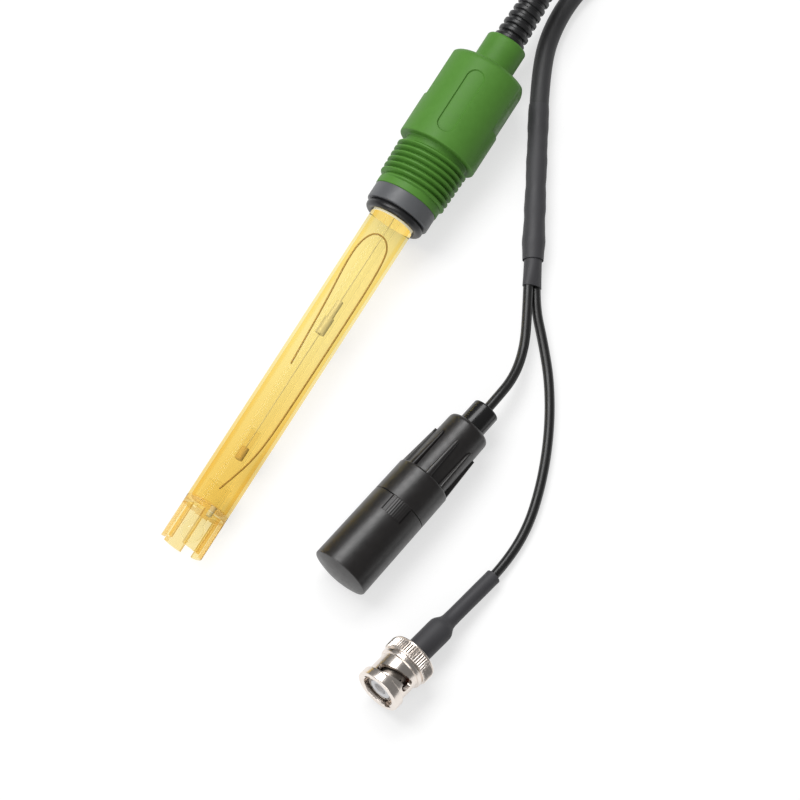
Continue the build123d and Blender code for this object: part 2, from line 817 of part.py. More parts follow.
def make_plug_body():
    """Slotted outer contact, shoulder, ring groove and crimp tail in one turned piece."""
    contact_end = contact_front + contact_length
    shoulder_end = contact_end + shoulder_length
    groove_start_place = retainer_start() - fit_gap
    groove_end_place = retainer_start() + retainer_thickness + fit_gap
    body_radius = plug_body_diameter / 2
    groove_radius = body_radius - retainer_groove
    inner = contact_inner_diameter / 2
    outer = contact_outer_diameter / 2
    shoulder = shoulder_diameter / 2
    tail = tail_diameter / 2
    tail_end = plug_waist_end + tail_length
    wire_hole = pin_diameter / 2 + fit_gap
    insulator_end = contact_front + insulator_length + fit_gap
    body = turned([
        (contact_front, inner), (contact_front, outer), (contact_end, outer), (contact_end, shoulder),
        (shoulder_end, shoulder), (shoulder_end, body_radius), (groove_start_place, body_radius),
        (groove_start_place, groove_radius), (groove_end_place, groove_radius),
        (groove_end_place, body_radius), (plug_waist_end, body_radius), (plug_waist_end, tail),
        (tail_end, tail), (tail_end, wire_hole),
        (insulator_end, wire_hole), (insulator_end, inner),
    ])
    for turn in (45, 135):
        slot = Box(contact_slot_length, 2 * contact_outer_diameter, contact_slot_width,
                   align=(Align.MIN, Align.CENTER, Align.CENTER))
        body -= Rot(turn, 0, 0) * Pos(contact_front, 0, 0) * slot
    return body


def retainer_start():
    """The retaining ring sits just behind the front wall of the coupling's chamber."""
    return chamber_start + 2 * fit_gap


def make_retaining_ring():
    """Split ring in the plug body's groove, which keeps the coupling on."""
    inner = plug_body_diameter / 2 - retainer_groove + fit_gap / 2
    split = ring(retainer_start(), retainer_start() + retainer_thickness, inner, retainer_diameter / 2)
    gap = block(retainer_start() - 1, retainer_thickness + 2, inner / 2, retainer_diameter, 0)
    return split - gap


def make_spring_washer():
    """Dished ring that pushes the coupling's lip away from the retaining ring."""
    start = retainer_start() + retainer_thickness + fit_gap / 2
    end = coupling_end - lip_length - fit_gap
    inner = plug_body_diameter / 2 + fit_gap
    outer = retainer_diameter / 2
    return turned([
        (start, inner), (end - contact_thickness, outer), (end, outer), (start + contact_thickness, inner),
    ])


def make_plug_gasket():
    end = contact_front + contact_length
    return ring(end - gasket_length, end, contact_outer_diameter / 2 + fit_gap / 2, shoulder_diameter / 2)


def make_plug_insulator():
    outer = contact_inner_diameter / 2 - fit_gap / 2
    recess = insulator_recess_diameter / 2
    pin_hole = pin_diameter / 2 + fit_gap / 2
    end = contact_front + insulator_length
    floor = contact_front + insulator_recess
    return turned([
        (contact_front, recess), (contact_front, outer), (end, outer), (end, pin_hole),
        (floor, pin_hole), (floor, recess),
    ])


def make_plug_pin():
    radius = pin_diameter / 2
    nose = pin_front + radius
    end = pin_front + pin_length
    return turned([(pin_front, 0), (pin_front, radius / 2), (nose, radius), (end, radius), (end, 0)])


def make_crimp_ferrule():
    inner = tail_diameter / 2 + fit_gap / 2
    return ring(plug_waist_end, plug_waist_end + tail_length, inner, inner + ferrule_wall)


def make_plug_boot():
    """Heat-shrunk sleeve over the ferrule, drawn down on to the thin cable."""
    outer = boot_wide_diameter / 2
    narrow = boot_narrow_diameter / 2
    inner = outer - boot_wall
    hollow_end = plug_waist_end + tail_length + fit_gap
    socket = branch_cable_diameter / 2 + fit_gap / 2
    waist_room = plug_body_diameter / 2 + fit_gap
    front_radius = waist_room + boot_wall
    step = plug_waist_end + boot_wall
    return turned([
        (plug_waist_end, inner), (plug_waist_end, waist_room), (boot_start, waist_room),
        (boot_start, front_radius), (step, front_radius), (step + boot_wall, outer), (boot_wide_end, outer),
        (boot_taper_end, narrow), (boot_end, narrow), (boot_end, socket), (boot_end - branch_socket, socket),
        (boot_end - branch_socket, 0), (hollow_end, 0), (hollow_end, inner),
    ])


probe_pieces = {
    "electrode_tube": make_electrode_tube(),
    "junction_pin": make_junction_pin(),
    "ph_glass": make_ph_glass(),
    "stem_seal": make_stem_seal(),
    "reference_pellet": make_reference_pellet(),
    "pellet_sleeve": make_pellet_sleeve(),
    "inner_wire": make_inner_wire(),
    "wire_splice": make_wire_splice(),
    "reference_wire": make_reference_wire(),
    "tube_stopper": make_tube_stopper(),
    "o_ring": make_o_ring(),
    "sealing_washer": make_sealing_washer(),
    "threaded_head": make_threaded_head(),
    "strain_relief": make_strain_relief(),
    "amplifier_board": make_amplifier_board(),
    "board_parts": make_board_parts(),
}
sleeve_pieces = {
    "splice_sleeve": make_splice_sleeve(),
    "inner_sleeve": make_inner_sleeve(),
}
case_pieces = {
    "battery_cap": make_battery_cap(),
    "case_body": make_case_body(),
    "battery_cell": make_battery_cell(),
    "cap_contact": make_cap_contact(),
    "rear_contact": make_rear_contact(),
    "contact_strip": make_contact_strip(),
    "case_bush": make_case_bush(),
}
plug_pieces = {
    "plug_coupling": make_plug_coupling(),
    "plug_body": make_plug_body(),
    "retaining_ring": make_retaining_ring(),
    "spring_washer": make_spring_washer(),
    "plug_gasket": make_plug_gasket(),
    "plug_insulator": make_plug_insulator(),
    "plug_pin": make_plug_pin(),
    "crimp_ferrule": make_crimp_ferrule(),
    "plug_boot": make_plug_boot(),
}
lead_pieces = {
    "main_cable_out": make_main_cable_out(),
    "cable_coil": make_cable_coil(),
    "coil_tie": make_coil_tie(),
    "main_cable_back": make_main_cable_back(),
    "branch_cable_case": make_branch_cable_case(),
    "branch_cable_plug": make_branch_cable_plug(),
}

os.makedirs("parts", exist_ok=True)
groups = [
    (probe_place, probe_pieces), (sleeve_place, sleeve_pieces), (case_place, case_pieces),
    (plug_place, plug_pieces), (Location(), lead_pieces),
]
for place, pieces in groups:
    for name, piece in pieces.items():
        solids = piece if isinstance(piece, list) else piece.solids()
        placed = [place * solid for solid in solids]
        shape = placed[0] if len(placed) == 1 else Compound(children=placed)
        export_step(shape, f"parts/{name}.step")
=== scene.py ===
import bmesh
import bpy
import json
import math
from mathutils import Matrix, Vector


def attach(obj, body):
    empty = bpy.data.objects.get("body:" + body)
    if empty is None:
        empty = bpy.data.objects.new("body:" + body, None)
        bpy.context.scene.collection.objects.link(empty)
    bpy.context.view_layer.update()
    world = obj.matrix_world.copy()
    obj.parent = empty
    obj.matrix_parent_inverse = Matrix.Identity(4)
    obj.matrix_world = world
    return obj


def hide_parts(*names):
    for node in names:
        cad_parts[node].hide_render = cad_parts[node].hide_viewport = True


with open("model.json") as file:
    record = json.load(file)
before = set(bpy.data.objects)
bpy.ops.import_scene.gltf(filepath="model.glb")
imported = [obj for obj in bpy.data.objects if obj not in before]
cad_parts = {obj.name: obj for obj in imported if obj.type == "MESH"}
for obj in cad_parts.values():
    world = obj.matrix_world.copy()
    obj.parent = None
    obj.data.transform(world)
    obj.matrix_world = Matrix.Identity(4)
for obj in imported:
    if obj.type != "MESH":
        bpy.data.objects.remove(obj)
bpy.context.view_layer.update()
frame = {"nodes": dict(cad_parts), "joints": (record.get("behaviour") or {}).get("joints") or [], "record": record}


# Glass electrode: a thin bulb of pH glass blown on the end of a plain glass stem. The stem
# runs up the middle of the tube, and is cemented in the bulkhead and in the stopper.
# Lengths on the probe are millimetres from its tip, along its own axis.
def placed_on(point, axis, turn=0.0):
    """Matrix from a piece's own millimetres, with its axis on X, to the object's metres."""
    x = Vector(axis).normalized()
    y = Vector((0, 0, 1)).cross(x).normalized()
    turned_frame = Matrix((x, y, x.cross(y))).transposed().to_4x4() @ Matrix.Rotation(turn, 4, "X")
    return Matrix.Translation(point) @ turned_frame @ Matrix.Scale(0.001, 4)


def rounded(corners, steps=5):
    """Outline of (x, radius) points from corners that may carry a rounding as a third number."""
    most_of_side = 0.48
    outline = []
    for number, corner in enumerate(corners):
        here = Vector(corner[:2])
        if len(corner) == 2:
            outline.append(here)
            continue
        back = Vector(corners[number - 1][:2]) - here
        ahead = Vector(corners[(number + 1) % len(corners)][:2]) - here
        half_angle = back.angle(ahead) / 2
        room = most_of_side * min(back.length, ahead.length)
        reach = min(corner[2] / math.tan(half_angle), room)
        start = here + back.normalized() * reach
        end = here + ahead.normalized() * reach
        for step in range(steps + 1):
            t = step / steps
            near, mid, far = (1 - t) ** 2, 2 * t * (1 - t) * math.sin(half_angle), t ** 2
            outline.append((start * near + here * mid + end * far) / (near + mid + far))
    return outline


def about_axis(x, radius, angle):
    """Point at a distance along X and a turn about it, from straight up."""
    return Vector((x, radius * math.sin(angle), radius * math.cos(angle)))


def turned(outline, sides=96):
    """Vertices and faces of the closed shape that an outline makes when turned about X."""
    verts, rings, faces = [], [], []
    for x, radius in outline:
        start = len(verts)
        if radius < 1e-6:
            verts.append(Vector((x, 0, 0)))
            rings.append([start] * sides)
            continue
        verts += [about_axis(x, radius, math.tau * side / sides) for side in range(sides)]
        rings.append(list(range(start, start + sides)))
    for ring, following in zip(rings, rings[1:] + rings[:1]):
        if ring[0] == ring[1] and following[0] == following[1]:
            continue
        for side in range(sides):
            after = (side + 1) % sides
            corners = [ring[side], ring[after], following[after], following[side]]
            faces.append(list(dict.fromkeys(corners)))
    return verts, faces


def plain_mesh(name, shape, place=Matrix()):
    """Mesh of a closed shape in its place, with its faces turned outwards."""
    verts, faces = shape
    mesh = bpy.data.meshes.new(name)
    mesh.from_pydata([place @ Vector(vert) for vert in verts], [], faces)
    work = bmesh.new()
    work.from_mesh(mesh)
    bmesh.ops.recalc_face_normals(work, faces=work.faces)
    work.to_mesh(mesh)
    work.free()
    return mesh


def smoothed(mesh, crisp=32.0):
    """Smooth shading, but for edges sharper than crisp degrees."""
    mesh.shade_smooth()
    mesh.set_sharp_from_angle(angle=math.radians(crisp))


def added(name, data):
    """Object in the scene that holds a mesh, a curve, a lamp or a camera."""
    thing = bpy.data.objects.new(name, data)
    bpy.context.collection.objects.link(thing)
    return thing


def solid(name, shape, place, material, crisp=32.0):
    """Object of a closed shape in its place."""
    mesh = plain_mesh(name, shape, place)
    mesh.materials.append(material)
    smoothed(mesh, crisp)
    return added(name, mesh)


def settled(piece, slot, *nodes, body="electrode"):
    """The piece moves with a body, and stands for these CAD nodes, if any."""
    if nodes:
        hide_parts(*nodes)
    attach(piece, body)


def feed(tree, node, inputs):
    """Sets a node's inputs from sockets or plain values."""
    for socket, value in inputs.items():
        if isinstance(value, bpy.types.NodeSocket):
            tree.links.new(value, node.inputs[socket])
        else:
            node.inputs[socket].default_value = value


def node_in(tree, kind, inputs, **settings):
    """New node in a tree, with its settings and its inputs."""
    node = tree.nodes.new(kind)
    for setting, value in settings.items():
        setattr(node, setting, value)
    feed(tree, node, inputs)
    return node


def new_material(name):
    """New material, with its tree and its shader."""
    material = bpy.data.materials.new(name)
    material.use_nodes = True
    return material, material.node_tree, material.node_tree.nodes["Principled BSDF"]


def clear_material(name, colour, shade, roughness, ior, polish=0.0, cloud=0.0):
    """Clear glass or plastic that lets the lamps' light through, tinted by its shade. Parts that
    stand in gel bend light little, so their index is low. Polish is the gloss of an outer skin,
    and cloud is the share of the light that is scattered back."""
    material, tree, clear = new_material(name)
    feed(tree, clear, {
        "Base Color": (*colour, 1), "Roughness": roughness, "IOR": ior,
        "Transmission Weight": 1.0 - cloud, "Coat Weight": polish})
    passing = node_in(tree, "ShaderNodeBsdfTransparent", {"Color": (*shade, 1)})
    ray = node_in(tree, "ShaderNodeLightPath", {}).outputs
    scattered = node_in(tree, "ShaderNodeMath", {0: ray["Is Shadow Ray"], 1: ray["Diffuse Depth"]},
                        operation="MAXIMUM", use_clamp=True)
    mix = node_in(tree, "ShaderNodeMixShader", {
        "Fac": scattered.outputs["Value"], 1: clear.outputs["BSDF"], 2: passing.outputs["BSDF"]})
    feed(tree, tree.nodes["Material Output"], {"Surface": mix.outputs["Shader"]})
    return material


def named(rows, name):
    """The row that has this name."""
    return next(row for row in rows if row["name"] == name)


shaft = named(frame["record"]["mounts"], "probe_shaft")
shaft_point_from_tip = 0.060
probe_axis = -Vector(shaft["axis"])
probe_tip = Vector(shaft["pos_m"]) - probe_axis * shaft_point_from_tip
probe_place = placed_on(probe_tip, probe_axis)
bulb_radius, bulb_wall, bulb_centre = 3.5, 0.4, 5.6
stem_radius, stem_wall, stem_end = 2.6, 0.7, 137.2


def bulb_arc(radius, stem, steps=20):
    """From the bulb's lowest point round to where its curve meets the stem."""
    last = math.pi - math.asin(stem / radius)
    points = []
    for step in range(steps + 1):
        angle = last * step / steps
        points.append(Vector((bulb_centre - radius * math.cos(angle), radius * math.sin(angle))))
    return points


glass_clear = clear_material("clear_glass", (0.98, 0.98, 0.96), (0.97, 0.97, 0.96), 0.01, 1.025, 0.1)
glass_outline = bulb_arc(bulb_radius, stem_radius)
glass_outline += [Vector((stem_end, stem_radius)), Vector((stem_end, stem_radius - stem_wall))]
glass_outline += reversed(bulb_arc(bulb_radius - bulb_wall, stem_radius - stem_wall))
glass = solid("glass_stem_and_bulb", turned(glass_outline), probe_place, glass_clear, crisp=60)
settled(glass, "glass", "ph_glass")


# Inner element: a pressed pellet in a clear sleeve, on a thin wire that runs up the stem to
# the amplifier. A stepped metal splice joins two lengths of the wire half way up.
def math_in(tree, operation, *values):
    """Result of a math node that is fed by sockets or plain numbers."""
    return node_in(tree, "ShaderNodeMath", dict(enumerate(values)), operation=operation).outputs[0]


def grain_group():
    """Fine surface grain: uneven roughness between two limits, a height and a slow mottle."""
    group = bpy.data.node_groups.new("surface_grain", "ShaderNodeTree")
    for title in ("Vector", "Grain per metre", "Least roughness", "Most roughness"):
        kind = "NodeSocketVector" if title == "Vector" else "NodeSocketFloat"
        group.interface.new_socket(title, in_out="INPUT", socket_type=kind)
    for title in ("Roughness", "Height", "Mottle"):
        group.interface.new_socket(title, in_out="OUTPUT", socket_type="NodeSocketFloat")
    given = node_in(group, "NodeGroupInput", {}).outputs
    slow_share = 0.045
    slow_scale = math_in(group, "MULTIPLY", given["Grain per metre"], slow_share)
    fine, slow = [
        node_in(group, "ShaderNodeTexNoise", {"Vector": given["Vector"], "Scale": scale, "Detail": detail})
        for scale, detail in ((given["Grain per metre"], 3.0), (slow_scale, 4.0))]
    spread = node_in(group, "ShaderNodeMapRange", {
        "Value": slow.outputs["Fac"], "From Min": 0.3, "From Max": 0.7,
        "To Min": given["Least roughness"], "To Max": given["Most roughness"]})
    node_in(group, "NodeGroupOutput", {
        "Roughness": spread.outputs["Result"], "Height": fine.outputs["Fac"],
        "Mottle": slow.outputs["Fac"]})
    return group


surface_grain = grain_group()


def grained_material(name, light, dark, roughness, grain=9000.0, bump=0.06, metallic=0.0, specular=0.5):
    """Material whose colour, roughness and fine relief vary over the surface."""
    material, tree, shader = new_material(name)
    least, most = roughness
    where = node_in(tree, "ShaderNodeTexCoord", {})
    grained = node_in(tree, "ShaderNodeGroup", {
        "Vector": where.outputs["Object"], "Grain per metre": grain, "Least roughness": least,
        "Most roughness": most}, node_tree=surface_grain).outputs
    tone = node_in(tree, "ShaderNodeMix", {
        "Factor": grained["Mottle"], "A": (*dark, 1), "B": (*light, 1)}, data_type="RGBA")
    relief_depth = 0.0002
    relief = node_in(tree, "ShaderNodeBump", {
        "Strength": bump, "Distance": relief_depth, "Height": grained["Height"]})
    feed(tree, shader, {
        "Base Color": tone.outputs["Result"], "Roughness": grained["Roughness"], "Metallic": metallic,
        "Specular IOR Level": specular, "Normal": relief.outputs["Normal"]})
    return material


def lathed(name, corners, place, material, sides=96, steps=5, crisp=32.0):
    """Piece turned about its axis from the corners of its outline."""
    return solid(name, turned(rounded(corners, steps), sides), place, material, crisp)


pellet_start, pellet_end, pellet_radius = 29.0, 33.0, 1.1
pellet_tan = grained_material(
    "pressed_pellet", (0.95, 0.76, 0.40), (0.82, 0.62, 0.29), (0.55, 0.75), bump=0.2)
pellet = lathed("pressed_pellet", [
    (pellet_start, 0), (pellet_start, pellet_radius, 0.3), (pellet_end, pellet_radius, 0.2),
    (pellet_end, 0),
], probe_place, pellet_tan, 32)
settled(pellet, "dark_pellet", "reference_pellet")
sleeve_end, sleeve_bore, sleeve_radius = 38.5, 1.15, 1.5
sleeve_clear = clear_material("pale_sleeve", (0.97, 0.94, 0.86), (0.97, 0.95, 0.92), 0.05, 1.03)
sleeve = lathed("pellet_sleeve", [
    (pellet_start, sleeve_bore, 0.1), (pellet_start, sleeve_radius, 0.1), (sleeve_end, sleeve_radius, 0.1),
    (sleeve_end, sleeve_bore, 0.1),
], probe_place, sleeve_clear, 32)
settled(sleeve, "clear_seal", "pellet_sleeve")
wire_radius, wire_end = 0.15, 137.8
wire_silver = grained_material(
    "drawn_wire", (0.98, 0.92, 0.70), (0.93, 0.86, 0.63), (0.3, 0.45), bump=0.03)
stem_wire = lathed("stem_wire", [
    (pellet_end, 0), (pellet_end, wire_radius), (wire_end, wire_radius, 0.1), (wire_end, 0),
], probe_place, wire_silver, 16)
settled(stem_wire, "silver", "inner_wire")
splice_start, splice_step, splice_end = 71.0, 76.5, 82.0
splice_bore, splice_thick, splice_thin = 0.35, 1.3, 0.9
splice = lathed("wire_splice", [
    (splice_start, splice_bore), (splice_start, splice_thick, 0.15), (splice_step, splice_thick, 0.15),
    (splice_step, splice_thin, 0.1), (splice_end, splice_thin, 0.15), (splice_end, splice_bore),
], probe_place, wire_silver, 32)
settled(splice, "silver", "wire_splice")


# Stem seal and junction: a collar of clear resin cast round the stem on the bulkhead, and a
# small plug of porous ceramic, pressed into the bulkhead, where the reference meets the water.
def spun(place, turn):
    """Place that is turned about its own axis."""
    return place @ Matrix.Rotation(turn, 4, "X")


bulkhead_start, bulkhead_end = 11.5, 13.5
seal_radius, seal_end, close_fit = 3.5, 20.5, 0.05
resin_clear = clear_material("cast_resin", (0.98, 0.96, 0.88), (0.98, 0.96, 0.90), 0.04, 1.03)
seal = lathed("stem_seal", [
    (bulkhead_end, stem_radius + close_fit), (bulkhead_end, seal_radius, 0.2), (seal_end, seal_radius, 0.7),
    (seal_end, stem_radius + close_fit, 0.2),
], probe_place, resin_clear, 64)
settled(seal, "clear_seal", "stem_seal")
junction_start, junction_radius, junction_offset = 10.5, 0.8, 3.95
slot_turn = math.radians(10.5)
junction_lift = Matrix.Translation((0, 0, junction_offset))
junction_place = spun(probe_place, math.radians(45) - slot_turn) @ junction_lift
ceramic_white = grained_material(
    "porous_ceramic", (0.86, 0.84, 0.76), (0.72, 0.69, 0.60), (0.8, 0.95), bump=0.3)
junction = lathed("ceramic_junction", [
    (junction_start, 0), (junction_start, junction_radius, 0.15), (bulkhead_end, junction_radius, 0.1),
    (bulkhead_end, 0),
], junction_place, ceramic_white, 32)
settled(junction, "ceramic", "junction_pin")


# Electrode tube: injection moulded in clear amber plastic, with the bulkhead moulded in. Two
# crossing slots leave four prongs that guard the bulb and let the water reach it. The seat
# under the head has a painted glow: opaque pale amber that emits a little light.
def made_plain(piece):
    """Turns what a piece's modifiers make into its own plain mesh."""
    graph = bpy.context.evaluated_depsgraph_get()
    mesh = bpy.data.meshes.new_from_object(piece.evaluated_get(graph))
    piece.modifiers.clear()
    piece.data = mesh
    return mesh


def carved(piece, *cutters):
    """Cuts the cutters out of a closed piece, and removes them."""
    for cutter in cutters:
        cut = piece.modifiers.new("cut", "BOOLEAN")
        cut.operation = "DIFFERENCE"
        cut.solver = "EXACT"
        cut.object = cutter
    smoothed(made_plain(piece))
    for cutter in cutters:
        bpy.data.objects.remove(cutter)


def box_shape(low, high):
    """Vertices and faces of a box between two corners."""
    across, deep, tall = zip(low, high)
    verts = [Vector((x, y, z)) for x in across for y in deep for z in tall]
    faces = [(0, 1, 3, 2), (4, 6, 7, 5), (0, 4, 5, 1), (2, 3, 7, 6), (0, 2, 6, 4), (1, 5, 7, 3)]
    return verts, faces


def deepened(material, deep, pale, deep_until, pale_from):
    """Makes clear plastic paler along the probe, and deeper at its edges, where the wall is
    seen on end. The distances are metres from the tip."""
    tree = material.node_tree
    where = node_in(tree, "ShaderNodeTexCoord", {})
    apart = node_in(tree, "ShaderNodeSeparateXYZ", {"Vector": where.outputs["Object"]})
    share = node_in(tree, "ShaderNodeMapRange", {
        "Value": apart.outputs["X"], "From Min": probe_tip.x + deep_until,
        "From Max": probe_tip.x + pale_from})
    tone = node_in(tree, "ShaderNodeMix", {
        "Factor": share.outputs["Result"], "A": (*deep, 1), "B": (*pale, 1)}, data_type="RGBA")
    tone = tone.outputs["Result"]
    facing = node_in(tree, "ShaderNodeLayerWeight", {"Blend": 0.5})
    edge = node_in(tree, "ShaderNodeMapRange", {
        "Value": facing.outputs["Facing"], "From Min": 0.36, "From Max": 0.48, "To Max": 0.65})
    twice = node_in(tree, "ShaderNodeMix", {"Factor": edge.outputs["Result"], "A": tone, "B": tone},
                    data_type="RGBA", blend_type="MULTIPLY")
    feed(tree, tree.nodes["Principled BSDF"], {"Base Color": twice.outputs["Result"]})


tube_radius, tube_bore, tube_end = 6.5, 5.3, 136.2
tube_step, seat_radius, slot_half = 108.7, 6.3, 1.85
bore_draft, free_fit = 0.1, 0.1
amber_colour, amber_shade = (0.990, 0.878, 0.49), (0.978, 0.950, 0.890)
amber_clear = clear_material("clear_amber_plastic", amber_colour, amber_shade, 0.02, 1.07, 0.04, 0.03)
amber_bore = clear_material("clear_amber_bore", amber_colour, amber_shade, 0.02, 1.004)
for material in (amber_clear, amber_bore):
    deepened(material, (0.960, 0.800, 0.385), (0.990, 0.900, 0.550), 0.025, 0.068)
tube = lathed("amber_tube", [
    (0, tube_bore, 0.15), (0, tube_radius, 0.15), (bulkhead_start, tube_radius),
    (bulkhead_end, tube_radius), (tube_step, tube_radius, 0.1), (tube_step, seat_radius),
    (tube_end, seat_radius, 0.2), (tube_end, tube_bore), (bulkhead_end, tube_bore - bore_draft, 0.3),
    (bulkhead_end, stem_radius + free_fit), (bulkhead_start, stem_radius + free_fit),
    (bulkhead_start, tube_bore, 0.2),
], probe_place, amber_clear, 128)
slot_reach = tube_radius + 1
slot_box = box_shape((-1, -slot_half, -slot_reach), (bulkhead_start - 0.02, slot_half, slot_reach))
carved(tube, *[
    solid("slot_cutter", slot_box, spun(probe_place, turn), amber_clear)
    for turn in (-slot_turn, math.pi / 2 - slot_turn)])
amber_guard = clear_material("clear_amber_guard", (0.98, 0.83, 0.42), amber_shade, 0.02, 1.05, 0.1, 0.06)
# Painted shade: the faces where the slots cut through the wall get a darker, cloudier copy of the amber plastic.
cut_painted_shade = clear_material("cut_amber_faces_painted_shade", (0.88, 0.56, 0.16), amber_shade, 0.05, 1.04, 0.1, 0.25)
# Painted glow: the seat faces under the head are opaque pale amber with a weak emission, so that the bore inside
# the head does not look dark.
seat_painted_glow = grained_material("seat_painted_glow", (0.97, 0.90, 0.66), (0.95, 0.87, 0.62), (0.4, 0.5))
feed(seat_painted_glow.node_tree, seat_painted_glow.node_tree.nodes["Principled BSDF"], {
    "Emission Color": (0.97, 0.90, 0.66, 1), "Emission Strength": 0.38})
for material in (amber_guard, cut_painted_shade, seat_painted_glow, amber_bore):
    tube.data.materials.append(material)
guard_index, cut_index, seat_index, bore_index = 1, 2, 3, 4
to_probe = probe_place.inverted()
for face in tube.data.polygons:
    middle = to_probe @ face.center
    reach = Vector((middle.y, middle.z)).length
    if middle.x > tube_step + 0.1:
        face.material_index = seat_index
    elif middle.x > bulkhead_end + 0.5 and reach < tube_bore + 0.1:
        face.material_index = bore_index
    elif middle.x < bulkhead_end + 0.1:
        outwards = (probe_place.to_3x3() @ Vector((0, middle.y, middle.z))).normalized()
        on_wall = tube_bore < reach < tube_radius
        across_wall = abs(face.normal.dot(outwards)) < 0.6 and abs(face.normal.dot(probe_axis)) < 0.5
        solid_through = middle.x > bulkhead_start + 0.1 and reach > tube_bore
        face.material_index = cut_index if (on_wall and across_wall) or solid_through else guard_index
settled(tube, "amber_tube", "electrode_tube")


# Reference wire: a coated wire bent into a hairpin in the space between stem and tube. Its
# lower end stands beside the stem seal. Each station is the distance from the tip and the turn
# from straight up, as seen from the tip.
def round_bar(name, points, diameter, material):
    """Smooth round bar that follows control points given in metres."""
    line = bpy.data.curves.new(name, "CURVE")
    line.dimensions = "3D"
    line.bevel_depth = diameter / 2
    line.bevel_resolution = 6
    line.resolution_u = 12
    line.use_fill_caps = True
    spline = line.splines.new("NURBS")
    spline.points.add(len(points) - 1)
    for control, point in zip(spline.points, points):
        control.co = (*point, 1)
    spline.order_u = 3
    spline.use_endpoint_u = True
    line.materials.append(material)
    return added(name, line)


hairpin_radius, hairpin_diameter = 4.6, 0.0005
hairpin_stations = [
    (58.8, 16), (78.0, 32), (92.0, 62), (99.0, 58), (103.0, 20), (102.8, -32),
    (98.5, -76), (69.0, -80), (40.0, -75), (30.5, -58), (23.0, -30), (18.4, -12),
]
hairpin_points = []
for along, turn in hairpin_stations:
    hairpin_points.append(probe_place @ about_axis(along, hairpin_radius, math.radians(turn)))
coated_amber = grained_material(
    "coated_wire", (0.48, 0.30, 0.08), (0.40, 0.24, 0.06), (0.25, 0.4), bump=0.02)
hairpin = round_bar("reference_hairpin", hairpin_points, hairpin_diameter, coated_amber)
settled(hairpin, "reference_amber", "reference_wire")


# Stopper, O-ring and washer: a rubber bung closes the tube inside the head. A black O-ring on
# the tube and a grey plastic washer under the head seal it against the fitting.
stopper_start, stopper_radius = 128.2, tube_bore - close_fit
rubber_black = grained_material(
    "black_rubber", (0.022, 0.022, 0.023), (0.012, 0.012, 0.013), (0.28, 0.42), bump=0.05)
stopper = lathed("tube_stopper", [
    (stopper_start, stem_radius + close_fit), (stopper_start, stopper_radius, 0.3),
    (tube_end, stopper_radius, 0.3), (tube_end, stem_radius + close_fit),
], probe_place, rubber_black)
settled(stopper, "black_rubber", "tube_stopper")
ring_start, ring_half, ring_steps = 109.0, 1.25, 24
ring_outline = []
for step in range(ring_steps):
    angle = math.tau * step / ring_steps
    x = ring_start + ring_half * (1 - math.cos(angle))
    ring_outline.append(Vector((x, seat_radius + close_fit + ring_half * (1 + math.sin(angle)))))
o_ring = solid("o_ring", turned(ring_outline, 128), probe_place, rubber_black, crisp=80)
settled(o_ring, "black_rubber", "o_ring")
washer_start, washer_radius, head_start = 111.5, 9.5, 116.2
grey_plastic = grained_material(
    "grey_plastic", (0.126, 0.131, 0.138), (0.104, 0.108, 0.114), (0.36, 0.46))
washer = lathed("sealing_washer", [
    (washer_start, seat_radius + free_fit), (washer_start, washer_radius, 0.35),
    (head_start, washer_radius, 0.2), (head_start, seat_radius + free_fit),
], probe_place, grey_plastic, 128)
settled(washer, "grey_plastic", "sealing_washer")


# Threaded head: one moulding in green plastic. It has a tapered pipe thread below, a body with
# two wrench flats and a shallow bare label recess, and a neck that grips the strain relief.
def new_tree(name, numbers, counts=()):
    """Empty Geometry Nodes tree with named inputs, and the sockets that they give."""
    tree = bpy.data.node_groups.new(name, "GeometryNodeTree")
    titles = {"Geometry": "Geometry", **dict.fromkeys(counts, "Int"), **dict.fromkeys(numbers, "Float"),
              "Material": "Material"}
    for title, kind in titles.items():
        tree.interface.new_socket(title, in_out="INPUT", socket_type="NodeSocket" + kind)
    tree.interface.new_socket("Geometry", in_out="OUTPUT", socket_type="NodeSocketGeometry")
    return tree, node_in(tree, "NodeGroupInput", {}).outputs


def close_tree(tree, given, geometry):
    """Ends a tree in Realize Instances and Set Material."""
    real = node_in(tree, "GeometryNodeRealizeInstances", {"Geometry": geometry})
    clothed = node_in(tree, "GeometryNodeSetMaterial", {
        "Geometry": real.outputs["Geometry"], "Material": given["Material"]})
    node_in(tree, "NodeGroupOutput", {"Geometry": clothed.outputs["Geometry"]})
    return tree


